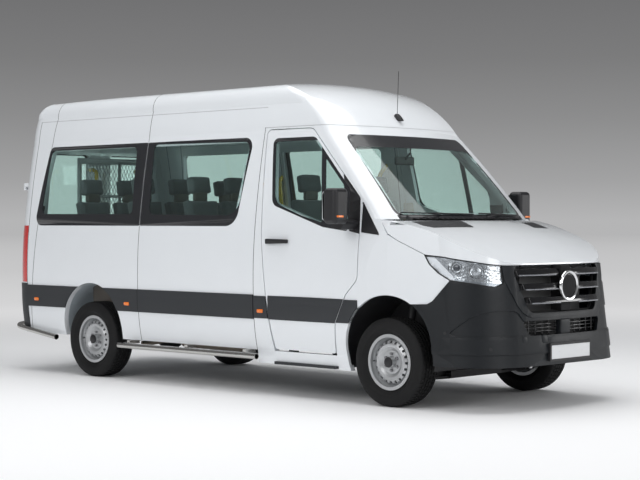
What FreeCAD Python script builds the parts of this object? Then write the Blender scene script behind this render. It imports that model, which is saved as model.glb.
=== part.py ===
import FreeCAD, Part
import math
import os
from FreeCAD import Vector as V

# Minibus on a high-roof van body. Millimetres; X runs forward from the front axle,
# Y to the left and Z up from the ground. The finished parts are moved by ORIGIN_X so that
# the frame's origin lies on the ground under the middle of the overall length.

# ------------------------------------------------------------------ driving sizes
WHEELBASE = 3670
BODY_HEIGHT = 2648        # roof crown
TRACK = 1720              # between the tyre centre planes of one axle
TYRE_R = 350
TYRE_W = 235
TYRE_WALL = 14
RIM_R = 203               # seat of the tyre bead
WALL = 50                 # side, roof and door-frame wall with its trim
SKIN = 25                 # nose panels
GLASS = 7
DOOR_GAP = 8
BONNET_GAP = 6
BONNET_LIP = 5            # bonnet thickness along its rear edge
DOOR_DEPTH_Y = 865        # inner face of the cab doors' trim
SILL_Z = 370
FLOOR_Z = 680             # top of the floor
FLOOR_T = 40
ROOF_SEAM_Z = 2420
CAB_ROOF_Z = 2245         # roof cap above the cab doors and windscreen
B_SEAM_X = -1485          # joint between cab and passenger body
MID_SEAM_X = -2985        # joint behind the entry door
POST_X = -4640            # joint between side walls and rear frame
ARCH_FRONT_R = 445
ARCH_REAR_R = 425
ARCH_FRONT_Z = 430
ARCH_REAR_Z = 450
LINER_T = 5
FRONT_LINER_Y = 500       # inner wall of the front wheel housing
REAR_LINER_Y = 655
TOW_AT = (-300, 548)      # towing eye socket, y and z
TOW_R = 10
TOW_END = 985             # its mouth stands in the hole through the bumper
ENGINE_X = 10             # rear face of the engine block
STEP_RISER_Y = 600        # riser of the cab entry step
RAIL_Y = 430              # ladder frame rail centre
RAIL_W = 70
RAIL_Z0, RAIL_Z1 = 470, 600
STRIP_Z0, STRIP_Z1 = 630, 835
STRIP_T = 10
TUBE_R = 25.5             # step tubes
TUBE_T = 3
PLATE_SCREWS = 300        # between the number plate's screws
STUB_R = 30               # axle stub in each wheel hub
RUN_GAP = 0.05            # running fit at stubs and pins
PIN_R = 12                # lower ball pin
ROD_R = 11                # strut rod in the knuckle
HINGE_PIN_R = 7

# ------------------------------------------------------------------ reference stations
PLAN_WHEELBASE = 3670     # the outlines below are drawn for this wheelbase and height
PLAN_HEIGHT = 2648
BELT_Z = 1400             # body above this line stretches with BODY_HEIGHT
NOSE_X = 1050
TAIL_X = -4930
WHEEL_Y = TRACK / 2
KING_LOW = (0, 775, 215)  # kingpin axis through the lower ball pin ...
KING_HIGH = (0, 640, 850)  # ... and the strut's top mount
DOOR_HINGE = (-256, 985)
REAR_HINGE = (-4842, 868)
BONNET_HINGE = (-110, 1600)
DOOR_TOP = 2226
SCREEN_FOOT_Z = 1468      # lowest edge of the windscreen surround
RAKE = 35                 # steering column from the vertical, degrees
STEER_AT = (-640, 420, 1235)


def stn(x):
    """Station along the body for the present wheelbase."""
    if x >= B_SEAM_X:
        return x
    if x >= -PLAN_WHEELBASE:
        return B_SEAM_X + (x - B_SEAM_X) * (WHEELBASE + B_SEAM_X) / (PLAN_WHEELBASE + B_SEAM_X)
    return x + PLAN_WHEELBASE - WHEELBASE


def lvl(z):
    """Height on the body for the present roof height."""
    if z <= BELT_Z:
        return z
    return BELT_Z + (z - BELT_Z) * (BODY_HEIGHT - BELT_Z) / (PLAN_HEIGHT - BELT_Z)


ORIGIN_X = -(NOSE_X + stn(TAIL_X)) / 2


# ------------------------------------------------------------------ drawing helpers
def loop(start, steps, place):
    """Closed wire: a step of two numbers is a line's end, one of four an arc's middle and end."""
    edges = []
    here = start
    for step in steps:
        if len(step) == 2:
            edges.append(Part.LineSegment(place(*here), place(*step)).toShape())
        else:
            edges.append(Part.Arc(place(*here), place(*step[:2]), place(*step[2:])).toShape())
        here = step[-2:]
    return Part.Wire(edges)


def rounded(points, place=lambda a, b: V(a, b, 0)):
    """Closed wire through corners (a, b, radius)."""
    flat = [V(p[0], p[1], 0) for p in points]
    spots = []
    for i, p in enumerate(points):
        back = flat[i - 1] - flat[i]
        ahead = flat[(i + 1) % len(flat)] - flat[i]
        half = back.getAngle(ahead) / 2
        cut = p[2] / math.tan(half) if p[2] else 0
        cut = min(cut, 0.45 * back.Length, 0.45 * ahead.Length)
        back.normalize()
        ahead.normalize()
        if cut < 0.5:
            spots.append((flat[i], None, flat[i]))
            continue
        radius = cut * math.tan(half)
        bisector = back + ahead
        bisector.normalize()
        middle = flat[i] + bisector * (radius / math.sin(half) - radius)
        spots.append((flat[i] + back * cut, middle, flat[i] + ahead * cut))
    edges = []
    for i, (first, middle, last) in enumerate(spots):
        if middle is not None:
            arc = Part.Arc(place(first.x, first.y), place(middle.x, middle.y), place(last.x, last.y))
            edges.append(arc.toShape())
        after = spots[(i + 1) % len(spots)][0]
        edges.append(Part.LineSegment(place(last.x, last.y), place(after.x, after.y)).toShape())
    return Part.Wire(edges)


def inset(points, distance):
    """Corner list moved inwards by a distance, for a convex or nearly convex outline."""
    area = sum(a[0] * b[1] - b[0] * a[1] for a, b in zip(points, points[1:] + points[:1]))
    sign = 1 if area > 0 else -1
    out = []
    for i, p in enumerate(points):
        here = V(p[0], p[1], 0)
        before = here - V(points[i - 1][0], points[i - 1][1], 0)
        after = V(*points[(i + 1) % len(points)][:2], 0) - here
        before.normalize()
        after.normalize()
        n1 = V(-before.y, before.x, 0) * sign
        n2 = V(-after.y, after.x, 0) * sign
        move = (n1 + n2) * (distance / (1 + n1.dot(n2)))
        out.append((p[0] + move.x, p[1] + move.y, max(p[2] - distance, 0)))
    return out


def side_prism(points, y0, y1):
    """Outline (x, z, radius) seen from the side, between two Y planes."""
    wire = rounded(points, lambda x, z: V(stn(x), y0, lvl(z)))
    return Part.Face(wire).extrude(V(0, y1 - y0, 0))


def front_prism(points, x0, x1):
    """Outline (y, z, radius) seen from the front, between two X planes."""
    wire = rounded(points, lambda y, z: V(x0, y, lvl(z)))
    return Part.Face(wire).extrude(V(x1 - x0, 0, 0))


def corner_prism(points):
    """Outline (u, z, radius) seen from 45 degrees ahead of the right front corner."""
    c = math.sqrt(0.5)
    wire = rounded(points, lambda u, z: V(u * c + 400 * c, u * c - 400 * c, z))
    return Part.Face(wire).extrude(V(1400 * c, -1400 * c, 0))


def box(x0, x1, y0, y1, z0, z1):
    return Part.makeBox(x1 - x0, y1 - y0, z1 - z0, V(x0, y0, z0))


def rod(start, end, r):
    start, end = V(*start), V(*end)
    return Part.makeCylinder(r, (end - start).Length, start, end - start)


def pipe(points, bend, r, wall=0):
    """Round bar or tube along straight runs joined by tangent arcs."""
    route = [V(*p) for p in points]
    edges = []
    here = route[0]
    for before, at, after in zip(route, route[1:], route[2:]):
        back, ahead = before - at, after - at
        half = back.getAngle(ahead) / 2
        cut = min(bend / math.tan(half), 0.45 * back.Length, 0.45 * ahead.Length)
        back.normalize()
        ahead.normalize()
        radius = cut * math.tan(half)
        bisector = back + ahead
        bisector.normalize()
        first, last = at + back * cut, at + ahead * cut
        edges.append(Part.LineSegment(here, first).toShape())
        middle = at + bisector * (radius / math.sin(half) - radius)
        edges.append(Part.Arc(first, middle, last).toShape())
        here = last
    edges.append(Part.LineSegment(here, route[-1]).toShape())
    path = Part.Wire(edges)

    def swept(radius):
        ring = Part.Wire(Part.makeCircle(radius, route[0], route[1] - route[0]))
        return path.makePipeShell([ring], True, False)
    solid = swept(r)
    if wall:
        solid = solid.cut(swept(r - wall))
    return solid


def mirrored(shape):
    return shape.mirror(V(0, 0, 0), V(0, 1, 0))


def pair(shape):
    return [shape, mirrored(shape)]


def fused(*shapes):
    whole = shapes[0].fuse(list(shapes[1:])) if len(shapes) > 1 else shapes[0]
    return whole.removeSplitter()


def export(name, *shapes):
    """Write one node's solids to parts/NAME.step in the exported frame."""
    solids = []
    for shape in shapes:
        for solid in shape.Solids:
            if solid.Volume > 1000:
                solids.append(solid)
    whole = solids[0] if len(solids) == 1 else Part.makeCompound(solids)
    whole = whole.copy()
    whole.translate(V(ORIGIN_X, 0, 0))
    if not whole.isValid():
        print("NOT VALID", name)
    whole.exportStep("parts/" + name + ".step")
    print(name, len(solids), round(sum(s.Volume for s in solids) / 1e6, 2), "litres")


# ------------------------------------------------------------------ body form
def section(x, t=0):
    """Body cross-section at a station, drawn in by t."""
    right = [(942, 370), (975, 560, 988, 760), (993, 1000, 971, 1400), (922, 1790, 847, 2220),
             (829, 2340, 803, 2440), (772, 2560, 690, 2612), (0, 2648, -690, 2612)]
    left = [(-772, 2560, -803, 2440), (-829, 2340, -847, 2220), (-922, 1790, -971, 1400),
            (-993, 1000, -988, 760), (-975, 560, -942, 370), (-930, 200), (930, 200)]
    wire = loop((930, 200), right + left, lambda y, z: V(x, y, lvl(z)))
    if t:
        wire = Part.Face(wire).makeOffset2D(-t).OuterWire
    return wire


# Lengthwise profile. Columns: kind (L line end, V arc middle, E arc end), x and z on the centre
# line, how far x and z move per square metre of Y, and the direction that a wall grows in.
PROFILE = [
    ("L", -4808, 2050, 10, 0, 1, 0),
    ("V", -4785, 2300, 0, 0, 0.98, -0.2), ("E", -4712, 2490, 0, -20, 0.87, -0.5),
    ("V", -4650, 2580, 0, -40, 0.6, -0.8), ("E", -4520, 2625, 0, -60, 0.1, -1),
    ("V", -3000, 2646, 0, -60, 0, -1), ("E", -1500, 2650, 0, -60, -0.05, -1),
    ("V", -1030, 2540, -80, -60, -0.42, -0.9), ("E", -660, 2232, -110, -50, -0.68, -0.73),
    ("V", -262, 1862, -170, -30, -0.68, -0.73), ("E", 150, 1468, -260, 0, -0.7, -0.71),
    ("V", 560, 1345, -60, -30, -0.36, -0.93), ("E", 922, 1130, -40, -20, -0.55, -0.83),
    ("L", 1000, 740, 0, 0, -0.97, -0.2),
    ("V", 1034, 580, 0, 0, -1, 0), ("E", 1026, 430, 0, 0, -1, 0.1),
    ("V", 1010, 350, 0, 0, -0.9, 0.3), ("E", 950, 300, 0, 0, -0.5, 0.8),
    ("L", 950, 200, 0, 0, -1, 0),
    ("L", -4808, 200, 10, 0, 1, 0)]


def profile(y, t=0):
    q = (y / 1000.0) ** 2

    def spot(row):
        kind, x, z, bow_x, bow_z, in_x, in_z = row
        return V(stn(x) + bow_x * q + in_x * t, y, lvl(z + bow_z * q) + in_z * t)
    edges = []
    here = spot(PROFILE[-1])
    middle = None
    for row in PROFILE:
        if row[0] == "V":
            middle = spot(row)
            continue
        there = spot(row)
        if row[0] == "E":
            edges.append(Part.Arc(here, middle, there).toShape())
        else:
            edges.append(Part.LineSegment(here, there).toShape())
        here = there
    return Part.Wire(edges)


def plan(z, t=0):
    """Plan outline of the nose at a height; every point leans between two levels."""
    lean = (z - 500) / 630.0

    def between(low, high):
        return low + (high - low) * lean
    front = (between(1034, 928), 0)
    face = (between(975, 893), 560)
    bend = (between(855, 780), between(800, 775))
    cheek = (between(600, 480), between(935, 895))
    wing = (between(320, 240), between(972, 940))
    door = (0, between(990, 975))
    right = [bend + cheek, wing + door, (-450, 1010), (stn(-4900), 1010)]
    left = [(stn(-4900), -1010), (-450, -1010), (0, -door[1]), (wing[0], -wing[1], cheek[0], -cheek[1]),
            (bend[0], -bend[1], face[0], -face[1]), front + face]
    wire = loop(face, right + left, lambda x, y: V(x, y, z))
    if t:
        wire = Part.Face(wire).makeOffset2D(-t).OuterWire
    return wire


def tail_form(t):
    """The body's rounded rear end, drawn in by t."""
    return Part.makeLoft([section(stn(x), t + i) for x, i in TAIL], True, False)


def form(t):
    """The whole body's outer form, drawn in by t."""
    body = Part.Face(section(stn(POST_X), t)).extrude(V(5800, 0, 0))
    rear = tail_form(t)
    side = Part.makeLoft([profile(y, t) for y in (-1050, -550, 0, 550, 1050)], True, False)
    nose = Part.makeLoft([plan(z, t) for z in (150, 1700)], True, True)
    upper = Part.Face(plan(1700, t)).extrude(V(0, 0, BODY_HEIGHT - 1500))
    whole = body.fuse(rear).common(side).common(nose.fuse(upper))
    return whole.removeSplitter()


def crease_rounded(shape, r):
    """Round the corner where the windscreen and roof cap meet the sides."""
    edges = []
    for e in shape.Edges:
        m = e.CenterOfMass
        if not (abs(m.y) > 600 and -1450 < m.x < -92 and m.z > lvl(1480)):
            continue
        faces = shape.ancestorsOfType(e, Part.Face)
        if len(faces) != 2:
            continue
        at = e.valueAt((e.FirstParameter + e.LastParameter) / 2)
        normals = [f.normalAt(*f.Surface.parameter(at)) for f in faces]
        if math.degrees(normals[0].getAngle(normals[1])) > 8:
            edges.append(e)
    return shape.makeFillet(r, edges)


def ring(x0, x1, t0, t1):
    """Length of the passenger body's wall between two depths."""
    face = Part.Face(section(stn(x0), t0)).cut(Part.Face(section(stn(x0), t1)))
    return face.extrude(V(stn(x1) - stn(x0), 0, 0))


# ------------------------------------------------------------------ outlines, columns x, z, radius
DOOR = [(-1262, 378, 30), (-1335, 794, 0), (-1403, 1336, 0), (-1456, DOOR_TOP, 50), (-918, DOOR_TOP, 110),
        (-304, 1639, 60), (-286, 1349, 0), (-296, 986, 90), (-422, 864, 60), (-545, 619, 120),
        (-565, 378, 30)]
DOOR_GLASS = [(-1366, 2148, 50), (-1296, 1590, 80), (-695, 1405, 0), (-420, 1372, 20),
              (-420, 1706, 20), (-880, 2148, 90)]
QUARTER = [(-275, 1612, 10), (-275, 1362, 12), (-70, 1340, 14)]
REAR_PANE = [(-4552, 1410, 90), (-2990, 1410, 12), (-2990, 2165, 12), (-4432, 2165, 60)]
FRONT_PANE = [(-2980, 1410, 12), (-1720, 1410, 150), (-1600, 2165, 90), (-2980, 2165, 12)]
BONNET_SIDE = [(-76, SCREEN_FOOT_Z), (-4, 1351), (87, 1300), (339, 1190), (487, 1178), (704, 1146),
               (872, 1112), (1100, 1106)]
HANDLE = [(-1319, 1264, 20), (-1074, 1272, 20), (-1074, 1300, 20), (-1319, 1304, 20)]
# columns y, z, radius
WINDSCREEN = [(-812, 1482, 60), (812, 1482, 60), (735, 2165, 70), (-735, 2165, 70)]
REAR_OPENING = [(-815, 500, 40), (815, 500, 40), (812, 1400, 0), (712, 2352, 90), (-712, 2352, 90),
                (-812, 1400, 0)]
REAR_LEAF = [(-4, 508, 5), (-807, 508, 34), (-804, 1400, 0), (-704, 2344, 84), (-4, 2344, 5)]
REAR_GLASS = [(-105, 1440, 60), (-705, 1440, 60), (-630, 2150, 70), (-105, 2150, 60)]
REAR_HINGE_Z = (640, 1790)
DOOR_STOPS = [(-1450, 1000), (-1490, 1700)]     # x, z of the blocks the cab doors close on
TAIL = [(POST_X, 0), (-4735, 16), (-4790, 50), (-4812, 90)]     # station x, drawn in by
SILL_FLAPS = [(B_SEAM_X + 10, -1262, 262), (-550, -390, 255)]     # x from, to, lowest z
BULGE = 62                # how far the grille's slats bow forward
GRILLE = [(-560, 1062, 60), (-520, 1118, 40), (520, 1118, 40), (560, 1062, 60), (430, 748, 70),
          (-430, 748, 70)]
INTAKE = [(-510, 690, 20), (-450, 578, 30), (450, 578, 30), (510, 690, 20)]
# columns u, z, radius: from 45 degrees ahead
HEADLAMP = [(-414, 1190, 8), (-381, 1121, 60), (-316, 1053, 60), (-230, 997, 50), (-83, 976, 0),
            (101, 948, 20), (172, 978, 20), (150, 1125, 10), (140, 1300, 0), (-414, 1300, 0)]
WING_EDGE = [(-2200, 100, 0), (-700, 100, 0), (-700, 806, 0), (-395, 817, 30), (-356, 842, 30),
             (-235, 997, 0), (0, 1400, 0), (0, 1800, 0), (-2200, 1800, 0)]


def bonnet_prism(gap):
    """Everything over the bonnet's side line and ahead of the windscreen's surround."""
    top = SCREEN_FOOT_Z - 2 * gap
    line = [(BONNET_SIDE[0][0] + 2.6 * gap, top, 0)]
    for x, z in BONNET_SIDE[1:]:
        steep = 1.2 if x < 0 else 0
        line.append((x + steep * gap, z + gap, 0))
    return side_prism(line + [(1100, top, 0)], -1100, 1100)


def arch(x, z, r, y0, y1):
    return rod((x, y0, z), (x, y1, z), r)


def front_arch(r, y0, y1):
    return arch(0, ARCH_FRONT_Z, r, y0, y1)


def rear_arch(r, y0, y1):
    return arch(-WHEELBASE, ARCH_REAR_Z, r, y0, y1)


# ------------------------------------------------------------------ shells
# A boolean can loosen the tolerances of what it is given, so each one takes a copy of these forms.
OUTER = crease_rounded(form(0), 60)
INNER = form(WALL)
UNDER = form(SKIN)
SHELL = OUTER.copy().cut(INNER.copy())
NOSE_SKIN = OUTER.copy().common(box(-300, 1100, -1050, 1050, 250, lvl(1480))).cut(UNDER.copy())
PANE = OUTER.copy().common(box(-1480, 400, -1050, 1050, 1300, lvl(2300))).cut(form(GLASS))


# ------------------------------------------------------------------ passenger body
def side_wall():
    """Right side wall from the B seam to the rear post, with its window openings."""
    wall = ring(POST_X, B_SEAM_X, 0, WALL)
    wall = wall.common(box(stn(POST_X), B_SEAM_X, -1100, 0, SILL_Z, lvl(ROOF_SEAM_Z)))
    wall = wall.cut(rear_arch(ARCH_REAR_R, -1100, 0))
    for outline in (REAR_PANE, FRONT_PANE):
        wall = wall.cut(side_prism(inset(outline, 40), -1100, -500))
    skin = ring(POST_X, B_SEAM_X, 0, GLASS)
    glass = [skin.common(side_prism(o, -1100, -500)) for o in (REAR_PANE, FRONT_PANE)]
    for pane in glass:
        wall = wall.cut(pane)
    return wall, glass


def entry_door(wall):
    """The left side: the wall ahead of the middle seam is the sliding door."""
    split = box(stn(MID_SEAM_X), B_SEAM_X + 10, -1100, 1100, 0, lvl(3000))
    return wall.cut(split), wall.common(split)


def rear_frame():
    frame = SHELL.copy().common(box(stn(-4900), stn(POST_X), -1100, 1100, SILL_Z, lvl(ROOF_SEAM_Z)))
    frame = frame.cut(front_prism(REAR_OPENING, stn(-4900), stn(POST_X) + 1))
    frame = frame.cut(tail_lamp_zone()).cut(mirrored(tail_lamp_zone())).cut(fused(*rear_stays()))
    hinges = []
    for z in REAR_HINGE_Z:
        hinges += pair(rear_hinge(z)[0])
    return fused(frame, *hinges)


def rear_hinge(z):
    """Body half and door half of one external hinge on the right, about REAR_HINGE."""
    x, y = stn(REAR_HINGE[0]), -REAR_HINGE[1]
    edge = -804 + 100 * max(0, z - 1400) / 944
    barrel = 15
    body = rod((x, y, lvl(z)), (x, y, lvl(z) + 34), barrel)
    pin = rod((x, y, lvl(z) - 32), (x, y, lvl(z) + 2), HINGE_PIN_R)
    strap = box(x, stn(-4735), y - 15, min(y + 75, edge - 12), lvl(z), lvl(z) + 34)
    body = body.fuse([pin, strap.cut(INNER.copy())])
    leaf = rod((x, y, lvl(z) - 34), (x, y, lvl(z) - 1), barrel)
    plate = box(x - 6, x + 6, y, edge + 45, lvl(z) - 34, lvl(z) - 1)
    foot = box(x - 6, stn(-4780), edge + 5, edge + 45, lvl(z) - 34, lvl(z) - 1)
    leaf = leaf.fuse([plate, foot])
    bore = rod((x, y, lvl(z) - 40), (x, y, lvl(z) + 3), HINGE_PIN_R + RUN_GAP)
    return body, leaf.cut(bore)


def rear_leaf():
    """Right rear door and its glass."""
    leaf = SHELL.copy().common(front_prism(REAR_LEAF, stn(-4900), stn(POST_X) - 60))
    skin = leaf.common(front_prism(REAR_GLASS, stn(-4900), stn(POST_X)))
    glass = skin.cut(form_tail_inner())
    leaf = leaf.cut(front_prism(inset(REAR_GLASS, 30), stn(-4900), stn(POST_X)))
    leaf = leaf.cut(glass)
    hinges = [rear_hinge(z)[1] for z in REAR_HINGE_Z]
    handle = box(stn(-4835), stn(-4800), -60, -20, 1080, 1240)
    return fused(leaf, handle, *hinges), glass


def form_tail_inner():
    """The body form drawn in by the glass thickness, at the tail only."""
    side = Part.makeLoft([profile(y, GLASS) for y in (-1050, -550, 0, 550, 1050)], True, False)
    return side.common(box(stn(-4900), stn(-4500), -1000, 1000, 1300, lvl(2300)))


def roof():
    passenger = box(stn(-5000), B_SEAM_X, -1100, 1100, lvl(ROOF_SEAM_Z), lvl(2700))
    cab = box(B_SEAM_X, 0, -1100, 1100, lvl(CAB_ROOF_Z), lvl(2700))
    return SHELL.copy().common(passenger.fuse(cab))


# ------------------------------------------------------------------ cab
def cab_frame(screen, quarter):
    """Pillars, header, cowl and firewall of the cab, with the door openings."""
    outline = [(B_SEAM_X, SILL_Z, 0), (-281, SILL_Z, 0), (-281, 1343, 0), (-4, 1343, 0),
               (-4, 1351, 0), (BONNET_SIDE[0][0], SCREEN_FOOT_Z, 0), (400, SCREEN_FOOT_Z, 0),
               (400, CAB_ROOF_Z, 0), (B_SEAM_X, CAB_ROOF_Z, 0)]
    frame = SHELL.copy().common(side_prism(outline, -1100, 1100))
    opening = [(x, 300 if z == 378 else z, r) for x, z, r in DOOR]
    frame = frame.cut(side_prism(opening, -1100, 1100))
    frame = frame.cut(front_prism(inset(WINDSCREEN, 35), -1300, 400))
    frame = frame.cut(screen)
    for cover in quarter:
        frame = frame.cut(cover)
    post = UNDER.copy().common(box(-281, 0, -1100, 1100, SILL_Z, 1343)).cut(INNER.copy())
    wall = INNER.copy().common(box(-40, 0, -1100, 1100, FLOOR_Z - FLOOR_T, lvl(1470)))
    shelf = INNER.copy().common(box(0, 260, -1100, 1100, 1410, lvl(1478)))
    stops = []
    for x, z in DOOR_STOPS:
        stops += pair(INNER.copy().common(box(x, x + 100, -1100, -925, z, z + 80)))
    frame = fused(frame, post, wall, shelf, *stops)
    return frame.cut(front_arch(ARCH_FRONT_R + LINER_T, -1100, 1100))


def cab_door():
    """Right cab door with its deep lower part, handle and glass."""
    door = SHELL.copy().common(side_prism(inset(DOOR, DOOR_GAP), -1100, -500))
    deep = side_prism(inset(DOOR, 70), -1100, -DOOR_DEPTH_Y).common(box(-1600, 0, -1100, 0, 300, 1340))
    door = fused(door, INNER.copy().common(deep))
    glass = PANE.copy().common(side_prism(DOOR_GLASS, -1100, -500))
    door = door.cut(side_prism(inset(DOOR_GLASS, 22), -1100, -500)).cut(glass)
    handle = side_prism(HANDLE, -1012, -975)
    return fused(door, handle), glass


def door_mirror():
    """Right door mirror: foot on the door, arm and housing."""
    house = box(-410, -270, -1275, -1115, lvl(1430), lvl(1712))
    house = house.makeFillet(36, house.Edges)
    arm = side_prism([(-440, 1395, 15), (-330, 1385, 15), (-300, 1452, 15), (-400, 1475, 15)],
                     -1150, -940)
    arm = arm.cut(OUTER.copy())
    return fused(house, arm)


# ------------------------------------------------------------------ nose
def bonnet():
    """The bonnet skin, thinned along its rear edge so that it swings up clear of the surround."""
    skin = NOSE_SKIN.copy().common(bonnet_prism(BONNET_GAP))
    rear = box(-100, 400, -1100, 1100, SCREEN_FOOT_Z - 45, SCREEN_FOOT_Z)
    return skin.cut(form(BONNET_LIP).common(rear))


def nose_below():
    return NOSE_SKIN.copy().cut(bonnet_prism(0)).common(box(-281, 1100, -1100, 1100, 300, 1343))


def nose_parts():
    """Wings, bumper and headlamps cut from the nose skin."""
    below = nose_below().cut(front_arch(ARCH_FRONT_R, -1100, 1100))
    wing_zone = corner_prism(WING_EDGE)
    lamp_zone = corner_prism(HEADLAMP)
    right = below.common(box(-281, 1100, -1100, 0, 300, 1343))
    wing = right.common(wing_zone)
    lamp = right.common(lamp_zone)
    wing = wing.cut(lamp_zone)
    bumper = below.cut(wing_zone.fuse(mirrored(wing_zone)))
    bumper = bumper.cut(lamp_zone.fuse(mirrored(lamp_zone)))
    bumper = bumper.common(box(0, 1100, -1100, 1100, 345, 1343))
    bumper = bumper.cut(front_prism(GRILLE, 700, 1200))
    bumper = bumper.cut(front_prism(INTAKE, 700, 1200))
    bumper = bumper.cut(rod((900, -300, 548), (1100, -300, 548), 28))
    return wing, lamp, bumper


def grille():
    """Frame and slats that follow the nose, behind the opening."""
    back = UNDER.copy().common(box(600, 1100, -700, 700, 500, 1200))
    slab = back.cut(form_nose_back()).common(box(600, 1100, -700, 700, 500, 1100))
    zone = slab.common(front_prism(inset(GRILLE, -14), 700, 1200))
    frame = zone.cut(front_prism(inset(GRILLE, 12), 700, 1200).common(box(600, 1100, -700, 700, 500, 1088)))
    stops = pair(rod((878, 430, 1080), (878, 430, 1160), 8).cut(bonnet_prism(BONNET_GAP)))
    slats = []
    for z in (1050, 948, 846):
        edge = 905 + (1120 - z) * 0.23
        reach = 548 - (1062 - z) * 0.41
        outline = [(edge - 34, -reach), (edge - 34 + BULGE, 0, edge - 34, reach), (edge, reach),
                   (edge + BULGE, 0, edge, -reach)]
        wire = loop((edge, -reach), outline, lambda x, y: V(x, y, z - 20))
        slats.append(Part.Face(wire).extrude(V(0, 0, 40)))
    stem = box(900, 1000, -60, 60, 760, 1110)
    badge = rod((990, 0, 950), (1030, 0, 950), 88)
    return fused(frame, stem, badge, *slats, *stops)


def form_nose_back():
    depth = SKIN + 22
    side = Part.makeLoft([profile(y, depth) for y in (-1050, -550, 0, 550, 1050)], True, False)
    nose = Part.makeLoft([plan(z, depth) for z in (150, 1700)], True, True)
    return side.common(nose).common(box(500, 1100, -800, 800, 400, 1250))


# ------------------------------------------------------------------ floor and frame
def floor():
    plate = INNER.copy().common(box(stn(POST_X) - 60, -40, -1100, 1100, FLOOR_Z - FLOOR_T, FLOOR_Z))
    for y0, y1 in ((FRONT_LINER_Y - LINER_T, 1100), (-1100, -FRONT_LINER_Y + LINER_T)):
        plate = plate.cut(front_arch(ARCH_FRONT_R + LINER_T, y0, y1))
    for y0, y1 in ((REAR_LINER_Y, 1100), (-1100, -REAR_LINER_Y)):
        plate = plate.cut(rear_arch(ARCH_REAR_R, y0, y1))
    for y0, y1 in ((DOOR_DEPTH_Y - 12, 1100), (-1100, 12 - DOOR_DEPTH_Y)):
        plate = plate.cut(box(-1440, -290, y0, y1, 600, 700))
    rear = housing(rear_arch, ARCH_REAR_R, REAR_LINER_Y, INNER.copy(), SILL_Z)
    step = box(-1250, -600, STEP_RISER_Y + 10, DOOR_DEPTH_Y - 12, 420, 440)
    riser = box(-1250, -600, STEP_RISER_Y, STEP_RISER_Y + 12, 420, FLOOR_Z - FLOOR_T)
    return fused(plate, *pair(rear), *pair(step.fuse(riser)))


def front_liners():
    return pair(housing(front_arch, ARCH_FRONT_R, FRONT_LINER_Y, UNDER.copy(), 300))


def sill_covers():
    """White covers under the cab doors, with a flap at each end."""
    zones = [box(B_SEAM_X + 10, -390, -1100, 0, 285, SILL_Z)]
    for x0, x1, z in SILL_FLAPS:
        zones.append(box(x0, x1, -1100, 0, z, SILL_Z))
    cover = SHELL.copy().common(fused(*zones))
    return pair(cover.cut(front_arch(ARCH_FRONT_R + LINER_T, -1100, 1100)))


def housing(arch_of, r, y_in, form_in, z_low):
    """Left wheel housing: a half round roof and an inner wall, LINER_T thick, inside the body."""
    roof_part = arch_of(r + LINER_T, y_in - LINER_T, 1100).cut(arch_of(r, y_in - LINER_T, 1100))
    wall = arch_of(r, y_in - LINER_T, y_in)
    shell = roof_part.fuse(wall).common(form_in)
    return shell.common(box(stn(-4400), 600, 0, 1100, z_low, 1000)).cut(
        box(stn(-4400), 600, y_in - 20, y_in + 0, 0, 560))


def frame_rails():
    length0, length1 = stn(-4600), 700
    rail = box(length0, length1, RAIL_Y - RAIL_W / 2, RAIL_Y + RAIL_W / 2, RAIL_Z0, RAIL_Z1)
    hollow = box(length0 - 1, length1 + 1, RAIL_Y - RAIL_W / 2 - 1, RAIL_Y + RAIL_W / 2 - 5,
                 RAIL_Z0 + 5, RAIL_Z1 - 5)
    rail = rail.cut(hollow)
    crosses = []
    for x in (-4600, -4350, -3050, -2300, -1500, 560):
        reach = RAIL_Y + RAIL_W / 2 - 5
        crosses.append(box(stn(x), stn(x) + 60, -reach, reach, RAIL_Z0 + 15, RAIL_Z1 - 15))
    risers = []
    for x in (-4580, -4200, -3150, -2400, -1600, -900):
        risers.append(box(stn(x), stn(x) + 50, RAIL_Y - 30, RAIL_Y + 30, RAIL_Z1, FLOOR_Z - FLOOR_T))
        reach = STEP_RISER_Y if x == -900 else 845
        arm = box(stn(x), stn(x) + 50, RAIL_Y + 30, reach, FLOOR_Z - FLOOR_T - 30, FLOOR_Z - FLOOR_T)
        if x != -4200 and x != -3150:
            risers.append(arm.common(INNER.copy()))
    beam = box(830, 870, -560, 560, 470, 590)
    horns = [box(690, 832, s * RAIL_Y - 30, s * RAIL_Y + 30, 480, 580) for s in (-1, 1)]
    parts = pair(rail) + crosses + risers + [mirrored(r) for r in risers] + [beam] + horns
    return fused(*parts)


def tow_socket():
    """Threaded socket for a towing eye, on the front beam."""
    y, z = TOW_AT
    return rod((870, y, z), (TOW_END, y, z), 18).cut(rod((868, y, z), (TOW_END + 5, y, z), TOW_R))


# ------------------------------------------------------------------ running gear
def revolve_y(points, y0=0):
    """Turned part about the Y axis from (radius, y) corners."""
    wire = Part.makePolygon([V(r, y0 + y, 0) for r, y in points + points[:1]])
    return Part.Face(wire).revolve(V(0, 0, 0), V(0, 1, 0), 360)


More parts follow.
